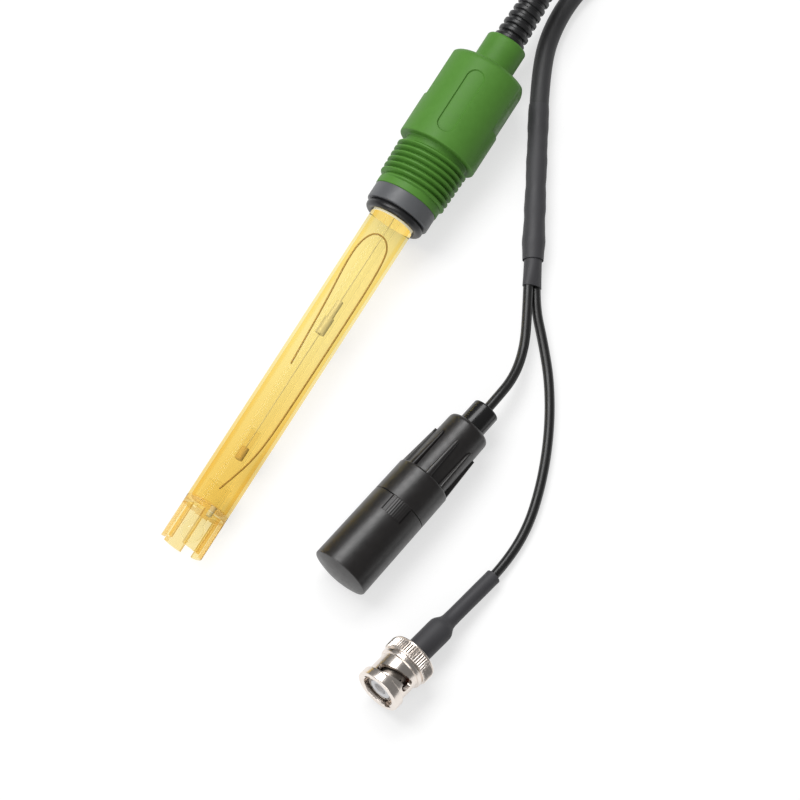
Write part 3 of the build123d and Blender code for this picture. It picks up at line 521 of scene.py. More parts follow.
def thread_tree():
    """Helical thread about X: a strip whose middle rises to the crest and whose ends fade out."""
    tree, given = new_tree("helical_thread", (
        "Turns", "Pitch", "Start radius", "End radius", "Depth", "Crest share", "Fade share"))

    def value(operation, *values):
        return math_in(tree, operation, *values)

    strip = node_in(tree, "GeometryNodeMeshGrid", {
        "Size X": 1, "Size Y": 1, "Vertices X": 720, "Vertices Y": 11})
    place = node_in(tree, "GeometryNodeInputPosition", {})
    apart = node_in(tree, "ShaderNodeSeparateXYZ", {"Vector": place.outputs["Position"]})
    way = value("ADD", apart.outputs["X"], 0.5)
    across = apart.outputs["Y"]
    turn = value("MULTIPLY", way, value("MULTIPLY", given["Turns"], math.tau))
    slope = value("SUBTRACT", 1.0, value("MULTIPLY", value("ABSOLUTE", across), 2.0))
    rise = value("MINIMUM", value("DIVIDE", slope, value("SUBTRACT", 1.0, given["Crest share"])), 1.0)
    near_end = value("MINIMUM", way, value("SUBTRACT", 1.0, way))
    fade = value("MINIMUM", value("DIVIDE", near_end, given["Fade share"]), 1.0)
    widening = value("SUBTRACT", given["End radius"], given["Start radius"])
    base = value("MULTIPLY_ADD", way, widening, given["Start radius"])
    lift = value("SUBTRACT", value("MULTIPLY", rise, fade), 1.0)
    radius = value("MULTIPLY_ADD", lift, given["Depth"], base)
    turns_gone = value("ADD", value("MULTIPLY", way, given["Turns"]), across)
    spot = node_in(tree, "ShaderNodeCombineXYZ", {
        "X": value("MULTIPLY", given["Pitch"], turns_gone),
        "Y": value("MULTIPLY", radius, value("COSINE", turn)),
        "Z": value("MULTIPLY", radius, value("SINE", turn))})
    moved = node_in(tree, "GeometryNodeSetPosition", {
        "Geometry": strip.outputs["Mesh"], "Position": spot.outputs["Vector"]})
    return close_tree(tree, given, moved.outputs["Geometry"])


def grown(name, tree, place, material, values, seed_mesh=None, crisp=32.0):
    """Piece that a Geometry Nodes tree makes from its named values, as a plain mesh in its place."""
    maker = added(name, seed_mesh or bpy.data.meshes.new(name))
    growth = maker.modifiers.new("growth", "NODES")
    growth.node_group = tree
    values = {**values, "Material": material}
    for item in tree.interface.items_tree:
        if item.in_out == "INPUT" and item.name in values:
            growth[item.identifier] = values[item.name]
    mesh = made_plain(maker)
    mesh.transform(place)
    smoothed(mesh, crisp)
    return maker


thread_start, thread_pitch, thread_turns, thread_depth = 118.4, 1.814, 7.0, 1.32
skirt_radius, core_first, core_last, core_end = 9.675, 9.05, 9.45, 131.0
rim, flats_start, shoulder, neck_end, cavity_end = 132.4, 144.7, 160.6, 170.2, 157.4
body_radius, flat_half, neck_radius, neck_bore = 11.85, 10.65, 6.05, 3.55
green_plastic = grained_material(
    "green_plastic", (0.106, 0.288, 0.044), (0.088, 0.246, 0.035), (0.44, 0.54), grain=12000.0,
    bump=0.04, specular=0.25)
head = lathed("threaded_head", [
    (head_start, seat_radius + free_fit), (head_start, skirt_radius, 0.3),
    (thread_start, skirt_radius, 0.3), (thread_start + 0.6, core_first), (core_end, core_last),
    (rim, core_last, 0.4), (rim, body_radius, 0.45), (shoulder, body_radius, 2.0),
    (shoulder, neck_radius, 1.9), (neck_end, neck_radius, 0.9),
    (neck_end, neck_bore, 0.2), (cavity_end, neck_bore), (cavity_end, seat_radius + free_fit),
], probe_place, green_plastic, 160, 8, 40)
recess_middle, recess_half_length, recess_half_width = 145.7, 10.2, 2.7
recess_depth, recess_slope, recess_top = 0.45, 0.7, 2.0


def ring_faces(rows, width, joined=False):
    """Faces over rows of points, each row a closed ring. The last row joins the first, or both
    are capped."""
    faces = []
    for row in range(rows if joined else rows - 1):
        here, after = row * width, (row + 1) % rows * width
        for step in range(width):
            following = (step + 1) % width
            faces.append((here + step, here + following, after + following, after + step))
    if not joined:
        faces += [tuple(range(width)), tuple(range((rows - 1) * width, rows * width))]
    return faces


def recess_shape(rows=16):
    """Rounded-ended plug that follows the body's curve, its floor a little below the surface."""
    verts = []
    for row in range(rows + 1):
        angle = math.pi * row / rows - math.pi / 2
        for end, height in ((1, -recess_depth), (-1, -recess_depth), (-1, recess_top), (1, recess_top)):
            half_width = recess_half_width + recess_slope * height
            x = end * (recess_half_length - recess_half_width + half_width * math.cos(angle))
            y = half_width * math.sin(angle)
            z = math.sqrt((body_radius + height) ** 2 - y ** 2)
            verts.append(Vector((recess_middle + x, y, z)))
    return verts, ring_faces(rows + 1, 4)


cutters = [solid("recess_cutter", recess_shape(), probe_place, green_plastic)]
wide = 2 * body_radius
for side in (-1, 1):
    near, far = sorted((side * flat_half, side * wide))
    flat_box = box_shape((flats_start, near, -wide), (shoulder + 1, far, wide))
    cutters.append(solid("flat_cutter", flat_box, probe_place, green_plastic))
carved(head, *cutters)
settled(head, "green_plastic", "threaded_head")
thread_place = probe_place @ Matrix.Translation((thread_start, 0, 0))
thread = grown("pipe_thread", thread_tree(), thread_place, green_plastic, {
    "Turns": thread_turns, "Pitch": thread_pitch, "Start radius": 10.35, "End radius": 10.75,
    "Depth": thread_depth, "Crest share": 0.2, "Fade share": 0.03}, crisp=25)
settled(thread, "green_plastic")


# Amplifier: a small lacquered circuit board with a chip and a capacitor, sealed in the head.
# Nothing shows it while the head is whole.
def dressed(node, material):
    """CAD node that is carried over, in its new material."""
    piece = frame["nodes"][node]
    piece.data.materials.clear()
    piece.data.materials.append(material)
    return piece


board_green = grained_material("lacquered_board", (0.03, 0.16, 0.06), (0.02, 0.12, 0.04), (0.3, 0.45))
part_black = grained_material("moulded_component", (0.03, 0.03, 0.03), (0.02, 0.02, 0.02), (0.5, 0.6))
dressed("amplifier_board", board_green)
dressed("board_parts", part_black)


# Strain relief: a black rubber sleeve moulded round the cable, with rings that let it bend
# little by little. Its shank is gripped by the neck of the head.
def rings_tree():
    """Repeats one ring along X, each smaller than the one before."""
    tree, given = new_tree("rings_along_axis", ("Pitch", "Last size"), ("Rings",))
    index = node_in(tree, "GeometryNodeInputIndex", {}).outputs["Index"]
    share = math_in(tree, "DIVIDE", index, math_in(tree, "SUBTRACT", given["Rings"], 1.0))
    along = node_in(tree, "ShaderNodeCombineXYZ", {"X": math_in(tree, "MULTIPLY", index, given["Pitch"])})
    spots = node_in(tree, "GeometryNodePoints", {
        "Count": given["Rings"], "Position": along.outputs["Vector"]})
    shrink = math_in(tree, "SUBTRACT", given["Last size"], 1.0)
    width = math_in(tree, "MULTIPLY_ADD", share, shrink, 1.0)
    size = node_in(tree, "ShaderNodeCombineXYZ", {"X": 1, "Y": width, "Z": width})
    rings = node_in(tree, "GeometryNodeInstanceOnPoints", {
        "Points": spots.outputs["Points"], "Instance": given["Geometry"], "Scale": size.outputs["Vector"]})
    return close_tree(tree, given, rings.outputs["Instances"])


relief_start, relief_tail_start, relief_end = 161.2, 189.4, 192.4
relief_core, relief_ring, relief_tail = 3.5, 4.6, 3.9
cable_socket, socket_floor = 2.8, relief_end - 6
relief = lathed("strain_relief", [
    (relief_start, 0), (relief_start, relief_core), (relief_tail_start, relief_core),
    (relief_tail_start, relief_tail, 0.4), (relief_end, relief_tail, 0.5), (relief_end, cable_socket, 0.2),
    (socket_floor, cable_socket), (socket_floor, 0),
], probe_place, rubber_black)
settled(relief, "black_rubber", "strain_relief")
ring_width, ring_root = 1.4, relief_core - 0.2
one_ring = plain_mesh("relief_ring", turned(rounded([
    (0, ring_root), (0, relief_ring, 0.4), (ring_width, relief_ring, 0.4), (ring_width, ring_root),
])))
rings_place = probe_place @ Matrix.Translation((neck_end, 0, 0))
relief_rings = grown("strain_relief_rings", rings_tree(), rings_place, rubber_black, {
    "Rings": 8, "Pitch": 2.4, "Last size": 0.85}, one_ring)
settled(relief_rings, "black_rubber")


# Main cable: round black jacket, 5.4 mm across. It leaves the strain relief, lies in a tied
# coil and comes back to the splice. The route's points are those of the solids, in metres.
cable_diameter = 0.0054
coil_centre, coil_radius, coil_lift = Vector((0.185, -0.0021, 0)), 0.0283, 0.0011
low_layer = coil_lift + cable_diameter / 2
high_layer = low_layer + cable_diameter * math.sqrt(3) / 2
turn_in, turn_out = math.radians(30), math.radians(165)
coil_stub, coil_turns, coil_step = 0.024, 4 + 225 / 360, math.radians(20)
lanes = [
    (0.0, cable_diameter, low_layer), (0.75, cable_diameter, low_layer), (1.0, 0.0, low_layer),
    (1.75, 0.0, low_layer), (2.0, -cable_diameter, low_layer), (2.7, -cable_diameter, low_layer),
    (3.0, -cable_diameter / 2, high_layer), (3.75, -cable_diameter / 2, high_layer),
    (4.0, cable_diameter / 2, high_layer), (5.0, cable_diameter / 2, high_layer),
]


def heading(turn):
    """Level direction at a turn from X."""
    return Vector((math.cos(turn), math.sin(turn), 0))


def beside_coil(way, radius, height):
    """Point where a straight end that runs this way touches the coil."""
    return coil_centre + Vector((-way.y, way.x, 0)) * radius + Vector((0, 0, height))


def on_axis(place, distance):
    """Point on a piece's axis."""
    return place @ Vector((distance, 0, 0))


def coil_points():
    """Control points of the clockwise turns: three lanes below, then two in the grooves above."""
    points = []
    count = round(coil_turns * math.tau / coil_step)
    spline_reach = (3 + math.cos(coil_step)) / 4
    for number in range(1, count):
        turn = number * coil_turns / count
        for before, after in zip(lanes, lanes[1:]):
            if before[0] <= turn <= after[0]:
                share = (turn - before[0]) / (after[0] - before[0])
                share = share * share * (3 - 2 * share)
                radius = coil_radius + before[1] + (after[1] - before[1]) * share
                height = before[2] + (after[2] - before[2]) * share
                break
        angle = turn_in + math.pi / 2 - turn * math.tau
        radius /= spline_reach
        points.append(coil_centre + Vector((radius * math.cos(angle), radius * math.sin(angle), height)))
    return points


way_in, way_out = heading(turn_in), heading(turn_out)
coil_start = beside_coil(way_in, coil_radius + cable_diameter, low_layer)
coil_end = beside_coil(way_out, coil_radius + cable_diameter / 2, high_layer)
splice_mouth = Vector((0.0662, -0.0151, 0.0033))
splice_low_end = Vector((0.0261, -0.0376, 0.0033))
splice_axis = (splice_mouth - splice_low_end).normalized()
cable_points = [
    on_axis(probe_place, socket_floor), on_axis(probe_place, relief_end + 9),
    Vector((0.1217, 0.0029, 0.0109)), Vector((0.1370, 0.0091, low_layer)),
    coil_start - way_in * coil_stub, coil_start - way_in * coil_stub * 0.4,
]
cable_points += coil_points()
cable_points += [
    coil_end + way_out * coil_stub * 0.4, coil_end + way_out * coil_stub,
    coil_end + way_out * (coil_stub + 0.017), Vector((0.1190, -0.0122, 0.0029)),
    Vector((0.1030, -0.0060, 0.00275)), Vector((0.0873, -0.0061, 0.0028)),
    splice_mouth + splice_axis * 0.009, splice_mouth - splice_axis * 0.006,
]
jacket_grey = grained_material(
    "main_cable_jacket", (0.062, 0.062, 0.064), (0.048, 0.048, 0.050), (0.46, 0.56), grain=5000.0,
    specular=0.4)
main_cable = round_bar("main_cable", cable_points, cable_diameter, jacket_grey)
settled(main_cable, "cable_jacket", "main_cable_out", "cable_coil", "main_cable_back")


# Coil tie: a black nylon band, pulled tight round the coil's turns. Its shape is that of
# the solids.
tie_nylon = grained_material("tie_nylon", (0.03, 0.03, 0.03), (0.02, 0.02, 0.02), (0.4, 0.5))
tie_piece = dressed("coil_tie", tie_nylon)


# Splice sleeves: two lengths of black heat-shrink tube. The outer one covers the splice and
# bulges over the solder joints, and the inner one grips the two thin cables in an oval mouth.
def shrunk_sleeve(stations, wall, sides=64):
    """Thin-walled sleeve through stations of (x, half width, half height, turn in degrees)."""
    verts = []
    for inset, ordered in ((0.0, stations), (wall, stations[::-1])):
        for x, half_width, half_height, turn in ordered:
            lean = math.radians(turn)
            for side in range(sides):
                angle = math.tau * side / sides
                y = (half_width - inset) * math.cos(angle)
                z = (half_height - inset) * math.sin(angle)
                verts.append(Vector((
                    x, y * math.cos(lean) - z * math.sin(lean), y * math.sin(lean) + z * math.cos(lean))))
    return verts, ring_faces(2 * len(stations), sides, joined=True)


splice_place = placed_on(splice_low_end, splice_axis)
splice_length = (splice_mouth - splice_low_end).length * 1000
outer_radius, outer_flat, outer_wall, outer_turn, outer_steps = 2.88, 0.06, 0.16, 20, 48
bulges = ((0.36, 6.5, 4.2), (0.10, 17.0, 4.0))
shrink_black = grained_material(
    "heat_shrink", (0.072, 0.071, 0.076), (0.052, 0.051, 0.056), (0.48, 0.60), grain=2600.0, bump=0.12,
    specular=0.4)
outer_stations = []
for step in range(outer_steps + 1):
    x = splice_length * step / outer_steps
    bulge = sum(height * math.exp(-((x - middle) / spread) ** 2) for height, middle, spread in bulges)
    ripple = 0.07 * math.sin(0.5 * x) + 0.04 * math.sin(1.3 * x + 1)
    radius = outer_radius + bulge + ripple
    outer_stations.append((x, radius, radius - outer_flat, outer_turn))
outer_shape = shrunk_sleeve(outer_stations, outer_wall)
outer_sleeve = solid("splice_sleeve", outer_shape, splice_place, shrink_black, crisp=50)
settled(outer_sleeve, "shrink_sleeve", "splice_sleeve")
mouth_reach, lap, inner_steps = 7.9, 5.0, 24
inner_radius, inner_wall, mouth_width, mouth_height, mouth_turn = 2.5, 0.4, 3.2, 1.95, 45
inner_stations = []
for step in range(inner_steps + 1):
    x = lap - (lap + mouth_reach) * step / inner_steps
    pinch = max(0.0, min(1.0, -x / mouth_reach)) ** 1.5
    half_width = inner_radius + (mouth_width - inner_radius) * pinch
    half_height = inner_radius + (mouth_height - inner_radius) * pinch
    inner_stations.append((x, half_width, half_height, mouth_turn))
inner_shape = shrunk_sleeve(inner_stations, inner_wall)
inner_sleeve = solid("inner_sleeve", inner_shape, splice_place, shrink_black, crisp=50)
settled(inner_sleeve, "shrink_sleeve", "inner_sleeve")


# Thin cables: two black cables, 2.8 mm across, that leave the splice together. One goes to the
# battery case and one to the plug.
def mouth_point(side, ahead):
    """Point on a thin cable's line through the mouth, millimetres in front of its socket's floor."""
    offset = side * mouth_offset
    return splice_place @ Vector((mouth_socket - mouth_reach - ahead, offset, offset))


thin_diameter, mouth_offset, mouth_socket = 0.0028, 1.02, 3.0
case_front, case_turn = Vector((-0.0817, -0.0408, 0.008616)), math.radians(10.5)
case_rear, cable_grip = 63.4, 4
case_axis = -Vector(named(frame["joints"], "battery_cap_pull")["axis"])
case_place = placed_on(case_front, case_axis, case_turn)
plug_mount = named(frame["record"]["mounts"], "plug_front")
plug_place = placed_on(plug_mount["pos_m"], -Vector(plug_mount["axis"]))
boot_end = 47.6
case_cable_points = [
    mouth_point(1, 0), mouth_point(1, 10.5), Vector((0.0032, -0.0489, 0.0036)),
    Vector((-0.0064, -0.0514, 0.0056)), on_axis(case_place, case_rear + 3.2),
    on_axis(case_place, case_rear - cable_grip),
]
jacket_black = grained_material(
    "cable_jacket", (0.018, 0.018, 0.018), (0.012, 0.012, 0.012), (0.28, 0.38), grain=7000.0)
case_cable = round_bar("case_cable", case_cable_points, thin_diameter, jacket_black)
settled(case_cable, "cable_jacket", "branch_cable_case")
plug_cable_points = [
    mouth_point(-1, 0), mouth_point(-1, 8.0), Vector((0.0075, -0.0523, 0.0015)),
    Vector((-0.0018, -0.0601, 0.0014)), Vector((-0.0142, -0.0675, 0.0014)),
    Vector((-0.0277, -0.0732, 0.0014)), Vector((-0.0410, -0.0767, 0.0014)),
    on_axis(plug_place, boot_end + 4), on_axis(plug_place, boot_end - 3),
]
plug_cable = round_bar("plug_cable", plug_cable_points, thin_diameter, jacket_black)
settled(plug_cable, "cable_jacket", "branch_cable_plug")


# Battery case: moulded in satin black plastic. The body has a tapered grip with eight ribs, a
# collar, and a spigot that the cap pushes on to. A key on the body fills a notch in the cap.
def round_tree():
    """Repeats one shape round the X axis."""
    tree, given = new_tree("round_the_axis", (), ("Count",))
    index = node_in(tree, "GeometryNodeInputIndex", {}).outputs["Index"]
    spots = node_in(tree, "GeometryNodePoints", {"Count": given["Count"]})
    step = math_in(tree, "DIVIDE", math.tau, given["Count"])
    turn = node_in(tree, "ShaderNodeCombineXYZ", {"X": math_in(tree, "MULTIPLY", index, step)})
    copies = node_in(tree, "GeometryNodeInstanceOnPoints", {
        "Points": spots.outputs["Points"], "Instance": given["Geometry"],
        "Rotation": turn.outputs["Vector"]})
    return close_tree(tree, given, copies.outputs["Instances"])


cap_end, dome, front_radius, collar_radius = 26.0, 1.5, 8.6, 8.2
spigot_start, collar_start, collar_end, case_shoulder = 14.0, 26.15, 36.8, 56.4
spigot_radius, cell_bore, cell_floor, wire_bore = 6.85, 6.15, 34.9, 4.2
grip_first, grip_last, bush_start, bush_hole = 6.8, 6.4, 52.8, 2.55
case_slope = (front_radius - collar_radius) / (collar_end - dome)


def case_radius(x):
    """Outer radius of the case's straight taper."""
    return front_radius - case_slope * (x - dome)


round_the_axis = round_tree()
case_black = grained_material(
    "satin_black_plastic", (0.0120, 0.0100, 0.0094), (0.0090, 0.0076, 0.0072), (0.32, 0.41),
    grain=14000.0, bump=0.05, specular=0.75)
case_body = lathed("case_body", [
    (spigot_start, cell_bore, 0.15), (spigot_start, spigot_radius, 0.3), (collar_start, spigot_radius),
    (collar_start, case_radius(collar_start), 0.12), (collar_end, collar_radius, 1.3),
    (collar_end, grip_first, 0.3), (case_shoulder, grip_last, 1.5), (case_shoulder, bush_hole),
    (bush_start, bush_hole), (bush_start, wire_bore), (cell_floor, wire_bore), (cell_floor, cell_bore),
], case_place, case_black, 128, 7)
settled(case_body, "case_plastic", "case_body")
rib_count, rib_length, rib_lap, rib_front_half, rib_rear_half = 8, 13.0, 0.6, 1.0, 0.5
rib_root, rib_front_top, rib_rear_top, rib_roundness = 6.2, 7.95, 7.1, 0.4


def rib_shape(rows=14, steps=10):
    """Grip rib with a crowned top: wide and high at the collar, narrow and low at its round end."""
    verts = []
    for row in range(rows + 1):
        share = row / rows
        x = collar_end - rib_lap + (rib_length + rib_lap) * share
        left = collar_end + rib_length - x
        half = rib_front_half + (rib_rear_half - rib_front_half) * share
        if left < rib_rear_half:
            half = math.sqrt(max(1e-4, rib_rear_half ** 2 - (rib_rear_half - left) ** 2))
        height = rib_front_top + (rib_rear_top - rib_front_top) * share
        for step in range(steps + 1):
            angle = math.pi * step / steps
            flank = math.copysign(abs(math.cos(angle)) ** rib_roundness, math.cos(angle))
            crown = math.sin(angle) ** rib_roundness if 0 < step < steps else 0.0
            verts.append(Vector((x, half * flank, rib_root + (height - rib_root) * crown)))
    return verts, ring_faces(rows + 1, steps + 1)


one_rib = plain_mesh("grip_rib", rib_shape())
grip_ribs = grown("grip_ribs", round_the_axis, case_place, case_black, {"Count": rib_count}, one_rib)
settled(grip_ribs, "case_plastic")
key_half, key_start, key_end, key_top, key_root = 3.20, 20.9, 27.0, 8.2, spigot_radius - 0.1


def key_shape(lines=9, depth=0.09):
    """Curved key plate with fine lines along it, rising out of the spigot up to the collar."""
    verts = []
    samples = lines * 4
    for sample in range(samples + 1):
        share = sample / samples
        angle = math.asin((2 * share - 1) * key_half / key_top)
        top = key_top - depth * (0.5 + 0.5 * math.cos(math.tau * lines * share))
        for x, radius in ((key_start, key_root), (key_start, top), (key_end, top), (key_end, key_root)):
            verts.append(about_axis(x, radius, angle))
    return verts, ring_faces(samples + 1, 4)


case_key = solid("case_key", key_shape(), case_place, case_black)
settled(case_key, "case_plastic")
bush_shank, bush_radius, cable_hole = 2.5, 4.0, 1.45
bush_black = grained_material(
    "gloss_black_bush", (0.010, 0.010, 0.010), (0.008, 0.008, 0.008), (0.18, 0.26), bump=0.03)
case_bush = lathed("case_bush", [
    (bush_start, 0), (bush_start, bush_shank, 0.2), (case_shoulder, bush_shank),
    (case_shoulder, bush_radius, 0.1), (case_rear, bush_radius, 0.6), (case_rear, cable_hole, 0.25),
    (case_rear - cable_grip, cable_hole), (case_rear - cable_grip, 0),
], case_place, bush_black)
settled(case_bush, "black_rubber", "case_bush")


# Battery cap: the case's front half, a plain cup with a slightly domed end. It pulls straight
# off the spigot to let the cell out.
cap_inner, cap_floor, dome_steps = 6.95, 2.5, 12
notch_half, notch_start, notch_height = 3.3, 20.8, 12
dome_radius = (front_radius ** 2 + dome ** 2) / (2 * dome)
cap_outline = []
for step in range(dome_steps + 1):
    radius = (front_radius - 0.15) * step / dome_steps
    cap_outline.append(Vector((dome_radius - math.sqrt(dome_radius ** 2 - radius ** 2), radius)))
cap_outline += rounded([
    (dome + 0.06, front_radius, 0.12), (cap_end, case_radius(cap_end), 0.15), (cap_end, cap_inner, 0.15),
    (cap_floor, cap_inner), (cap_floor, 0),
])
battery_cap = solid("battery_cap", turned(cap_outline, 128), case_place, case_black)
notch_box = box_shape((notch_start, -notch_half, 0), (cap_end + 1, notch_half, notch_height))
carved(battery_cap, solid("notch_cutter", notch_box, case_place, case_black))
settled(battery_cap, "case_plastic", "battery_cap", body="battery_cap")


# Inside the case: a small plated cell between a cup contact in the cap and a leaf contact on
# the floor, with a contact strip along the bore.
cell_button, cell_front, cell_end, button_radius, cell_radius = 2.9, 3.9, 33.1, 2.0, 6.0
cell_plate = grained_material(
    "plated_can", (0.62, 0.61, 0.58), (0.52, 0.51, 0.48), (0.25, 0.35), metallic=1.0)
battery_cell = lathed("battery_cell", [
    (cell_button, 0), (cell_button, button_radius, 0.3), (cell_front, button_radius),
    (cell_front, cell_radius, 0.5), (cell_end, cell_radius, 0.5), (cell_end, 0),
], case_place, cell_plate)
settled(battery_cell, "cell_steel", "battery_cell")
cup_end, cup_radius, cup_bore = 13.8, 6.9, 6.5
contact_plate = grained_material(
    "spring_contact", (0.70, 0.68, 0.62), (0.60, 0.58, 0.53), (0.2, 0.32), metallic=1.0)
cap_contact = lathed("cap_contact", [
    (cap_floor, 0), (cap_floor, cup_radius, 0.3), (cup_end, cup_radius, 0.1), (cup_end, cup_bore, 0.1),
    (cell_button, cup_bore, 0.2), (cell_button, 0),
], case_place, contact_plate)
settled(cap_contact, "contact_plate", "cap_contact", body="battery_cap")
rear_contact = dressed("rear_contact", contact_plate)
contact_strip = dressed("contact_strip", contact_plate)


# Plug body: turned in nickel-plated brass. A slotted tube makes the outer contact round a white
# insulator and a gold-plated pin, and a crimped ferrule holds the cable's screen on the tail.
# Lengths on the plug are millimetres from the front of its coupling ring.
nickel = grained_material(
    "nickel_plate", (0.90, 0.83, 0.77), (0.80, 0.73, 0.67), (0.20, 0.30), grain=5000.0, bump=0.02,
    metallic=1.0)
# Painted shade: the plug body has the same plating as the ring but is made darker, so that it looks shaded where
# it shows through the ring's slots and round the insulator.
nickel_painted_shade = grained_material(
    "nickel_painted_shade", (0.34, 0.30, 0.27), (0.26, 0.23, 0.20), (0.32, 0.42), grain=5000.0, bump=0.02,
    metallic=1.0)
body_front, flange_start, flange_end, body_end, tail_end = 1.0, 9.0, 10.2, 16.2, 24.6
body_bore, contact_radius, flange_radius, barrel_radius, tail_radius = 3.35, 4.05, 4.75, 4.2, 2.2
pin_hole, bore_end = 0.775, 9.4
plug_body = lathed("plug_body", [
    (body_front, body_bore, 0.1), (body_front, contact_radius, 0.2), (flange_start, contact_radius),
    (flange_start, flange_radius, 0.1), (flange_end, flange_radius, 0.1), (flange_end, barrel_radius),
    (body_end, barrel_radius, 0.2), (body_end, tail_radius), (tail_end, tail_radius, 0.1),
    (tail_end, pin_hole), (bore_end, pin_hole), (bore_end, body_bore),
], plug_place, nickel_painted_shade)
spring_end, spring_reach, spring_half = 6.0, 5, 0.25
spring_box = box_shape((0, -spring_reach, -spring_half), (spring_end, spring_reach, spring_half))
carved(plug_body, *[
    solid("spring_slot", spring_box, spun(plug_place, math.radians(turn)), nickel_painted_shade)
    for turn in (45, 135)])
settled(plug_body, "nickel", "plug_body")
white_end, white_floor, white_radius, white_bore, white_hole = 9.3, 5.3, 3.3, 1.9, 0.725
insulator_white = grained_material("white_insulator", (0.88, 0.88, 0.89), (0.82, 0.82, 0.84), (0.35, 0.45))
insulator = lathed("plug_insulator", [
    (body_front, white_bore, 0.3), (body_front, white_radius, 0.2), (white_end, white_radius),
    (white_end, white_hole), (white_floor, white_hole), (white_floor, white_bore, 0.2),
], plug_place, insulator_white)
settled(insulator, "white_insulator", "plug_insulator")
pin_front, pin_shoulder, pin_end, pin_nose, pin_radius = 2.6, 3.3, 14.0, 0.45, 0.675
gold_plate = grained_material(
    "gold_plate", (0.80, 0.50, 0.20), (0.70, 0.42, 0.15), (0.2, 0.3), metallic=1.0)
plug_pin = lathed("plug_pin", [
    (pin_front, 0), (pin_front, pin_nose, 0.3), (pin_shoulder, pin_radius, 0.2), (pin_end, pin_radius),
    (pin_end, 0),
], plug_place, gold_plate, 32)
settled(plug_pin, "gold_pin", "plug_pin")
gasket_red = grained_material("soft_gasket", (0.30, 0.10, 0.06), (0.24, 0.08, 0.05), (0.5, 0.6))
plug_gasket = dressed("plug_gasket", gasket_red)
spring_washer = dressed("spring_washer", contact_plate)
retaining_ring = dressed("retaining_ring", contact_plate)
crimp_ferrule = dressed("crimp_ferrule", nickel)


# Coupling ring: a turned and plated bayonet ring that spins on the plug body. Two cam slots
# draw in the lugs of a jack, and a straight knurl at the back gives grip.
waist_radius, rim_radius, rim_end, bead_start, bead_end = 6.1, 6.9, 2.8, 9.2, 10.4
bead_radius, groove_radius, knurl_root = 6.8, 6.4, 6.95
jack_bore, spring_bore, body_hole, spring_start, lip_start = 4.95, 5.8, 4.28, 10.0, 13.6
knurl_start, knurl_end, coupling_back, back_radius = 10.9, 14.6, 15.0, 7.1
coupling = lathed("plug_coupling", [
    (0, jack_bore, 0.25), (0, rim_radius, 0.35), (rim_end, rim_radius, 0.35), (rim_end, waist_radius, 0.3),
    (bead_start, waist_radius, 0.3), (bead_start, bead_radius, 0.2), (bead_end, bead_radius, 0.25),
    (bead_end, groove_radius), (knurl_start, groove_radius), (knurl_start, knurl_root, 0.2),
    (knurl_end, knurl_root, 0.1), (knurl_end, back_radius, 0.2), (coupling_back, back_radius, 0.2),
    (coupling_back, body_hole, 0.15), (lip_start, body_hole), (lip_start, spring_bore),
    (spring_start, spring_bore), (spring_start, jack_bore),
], plug_place, nickel, 144, 6)
cam_half, cam_inner, cam_outer = 1.2, 4.4, 7.4
cam_runs = [((-29.0, 4.1), (59.0, 6.4)), ((59.0, 6.4), (59.0, 5.0))]
entry_turn, entry_end, entry_low, entry_high = math.radians(-51), 3.4, 4.0, 5.6


def cam_cutter_shape(run, rows=40):
    """Round-ended plug through the ring's wall, along one run between points of (turn, distance)."""
    first, last = [Vector((math.radians(turn) * waist_radius, x)) for turn, x in run]
    length = (last - first).length
    ahead = (last - first).normalized()
    side = Vector((-ahead.y, ahead.x))
    verts = []
    for row in range(rows + 1):
        way = (length + 2 * cam_half) * (1 - math.cos(math.pi * row / rows)) / 2 - cam_half
        past = max(-way, way - length, 0.0)
        half = math.sqrt(max(cam_half ** 2 - past ** 2, 0.0001))
        for radius, edge in ((cam_inner, -half), (cam_inner, half), (cam_outer, half), (cam_outer, -half)):
            arc, x = first + ahead * way + side * edge
            verts.append(about_axis(x, radius, -arc / waist_radius))
    return verts, ring_faces(rows + 1, 4)


entry_box = box_shape((-1, -cam_half, entry_low), (entry_end, cam_half, entry_high))
cam_cutters = []
for turn in (0.0, math.pi):
    for run in cam_runs:
        cam_cutters.append(solid("cam_cutter", cam_cutter_shape(run), spun(plug_place, turn), nickel))
    cam_cutters.append(solid("entry_cutter", entry_box, spun(plug_place, turn + entry_turn), nickel))
carved(coupling, *cam_cutters)
settled(coupling, "nickel", "plug_coupling", body="plug_coupling")
tooth_count, tooth_half, tooth_root, tooth_end, tooth_crest = 56, 0.36, 6.8, 6.9, 7.3
tooth_rows = ((11.0, tooth_end), (11.35, tooth_crest), (14.25, tooth_crest), (14.6, tooth_end))


def knurl_tooth(steps=6):
    """One straight tooth of the knurl, with a rounded crest and sloping ends."""
    verts = []
    for x, height in tooth_rows:
        for step in range(steps + 1):
            share = 2 * step / steps - 1
            lift = (height - tooth_root) * (1 - share ** 2)
            verts.append(Vector((x, tooth_half * share, tooth_root + lift)))
    return verts, ring_faces(len(tooth_rows), steps + 1)


one_tooth = plain_mesh("knurl_tooth", knurl_tooth())
knurl = grown("coupling_knurl", round_the_axis, plug_place, nickel, {"Count": tooth_count}, one_tooth)
settled(knurl, "nickel", body="plug_coupling")


# Plug boot: heat-shrink tube over the ferrule, drawn down tight on the thin cable behind it.
# Each station is the distance from the plug's front and the radius there.
boot_wall = 0.45
boot_outline = [
    (15.4, 3.62), (15.6, 3.7), (17.0, 3.7), (21.0, 3.7), (24.6, 3.72), (25.8, 3.68), (26.6, 3.45),
    (27.5, 2.9), (28.4, 2.42), (29.4, 2.25), (31.6, 2.2), (37.0, 2.2), (42.0, 2.22), (46.4, 2.2),
    (boot_end, 2.22),
]
boot_shape = shrunk_sleeve([(x, radius, radius, 0) for x, radius in boot_outline], boot_wall)
plug_boot = solid("plug_boot", boot_shape, plug_place, shrink_black, crisp=60)
settled(plug_boot, "shrink_sleeve", "plug_boot")


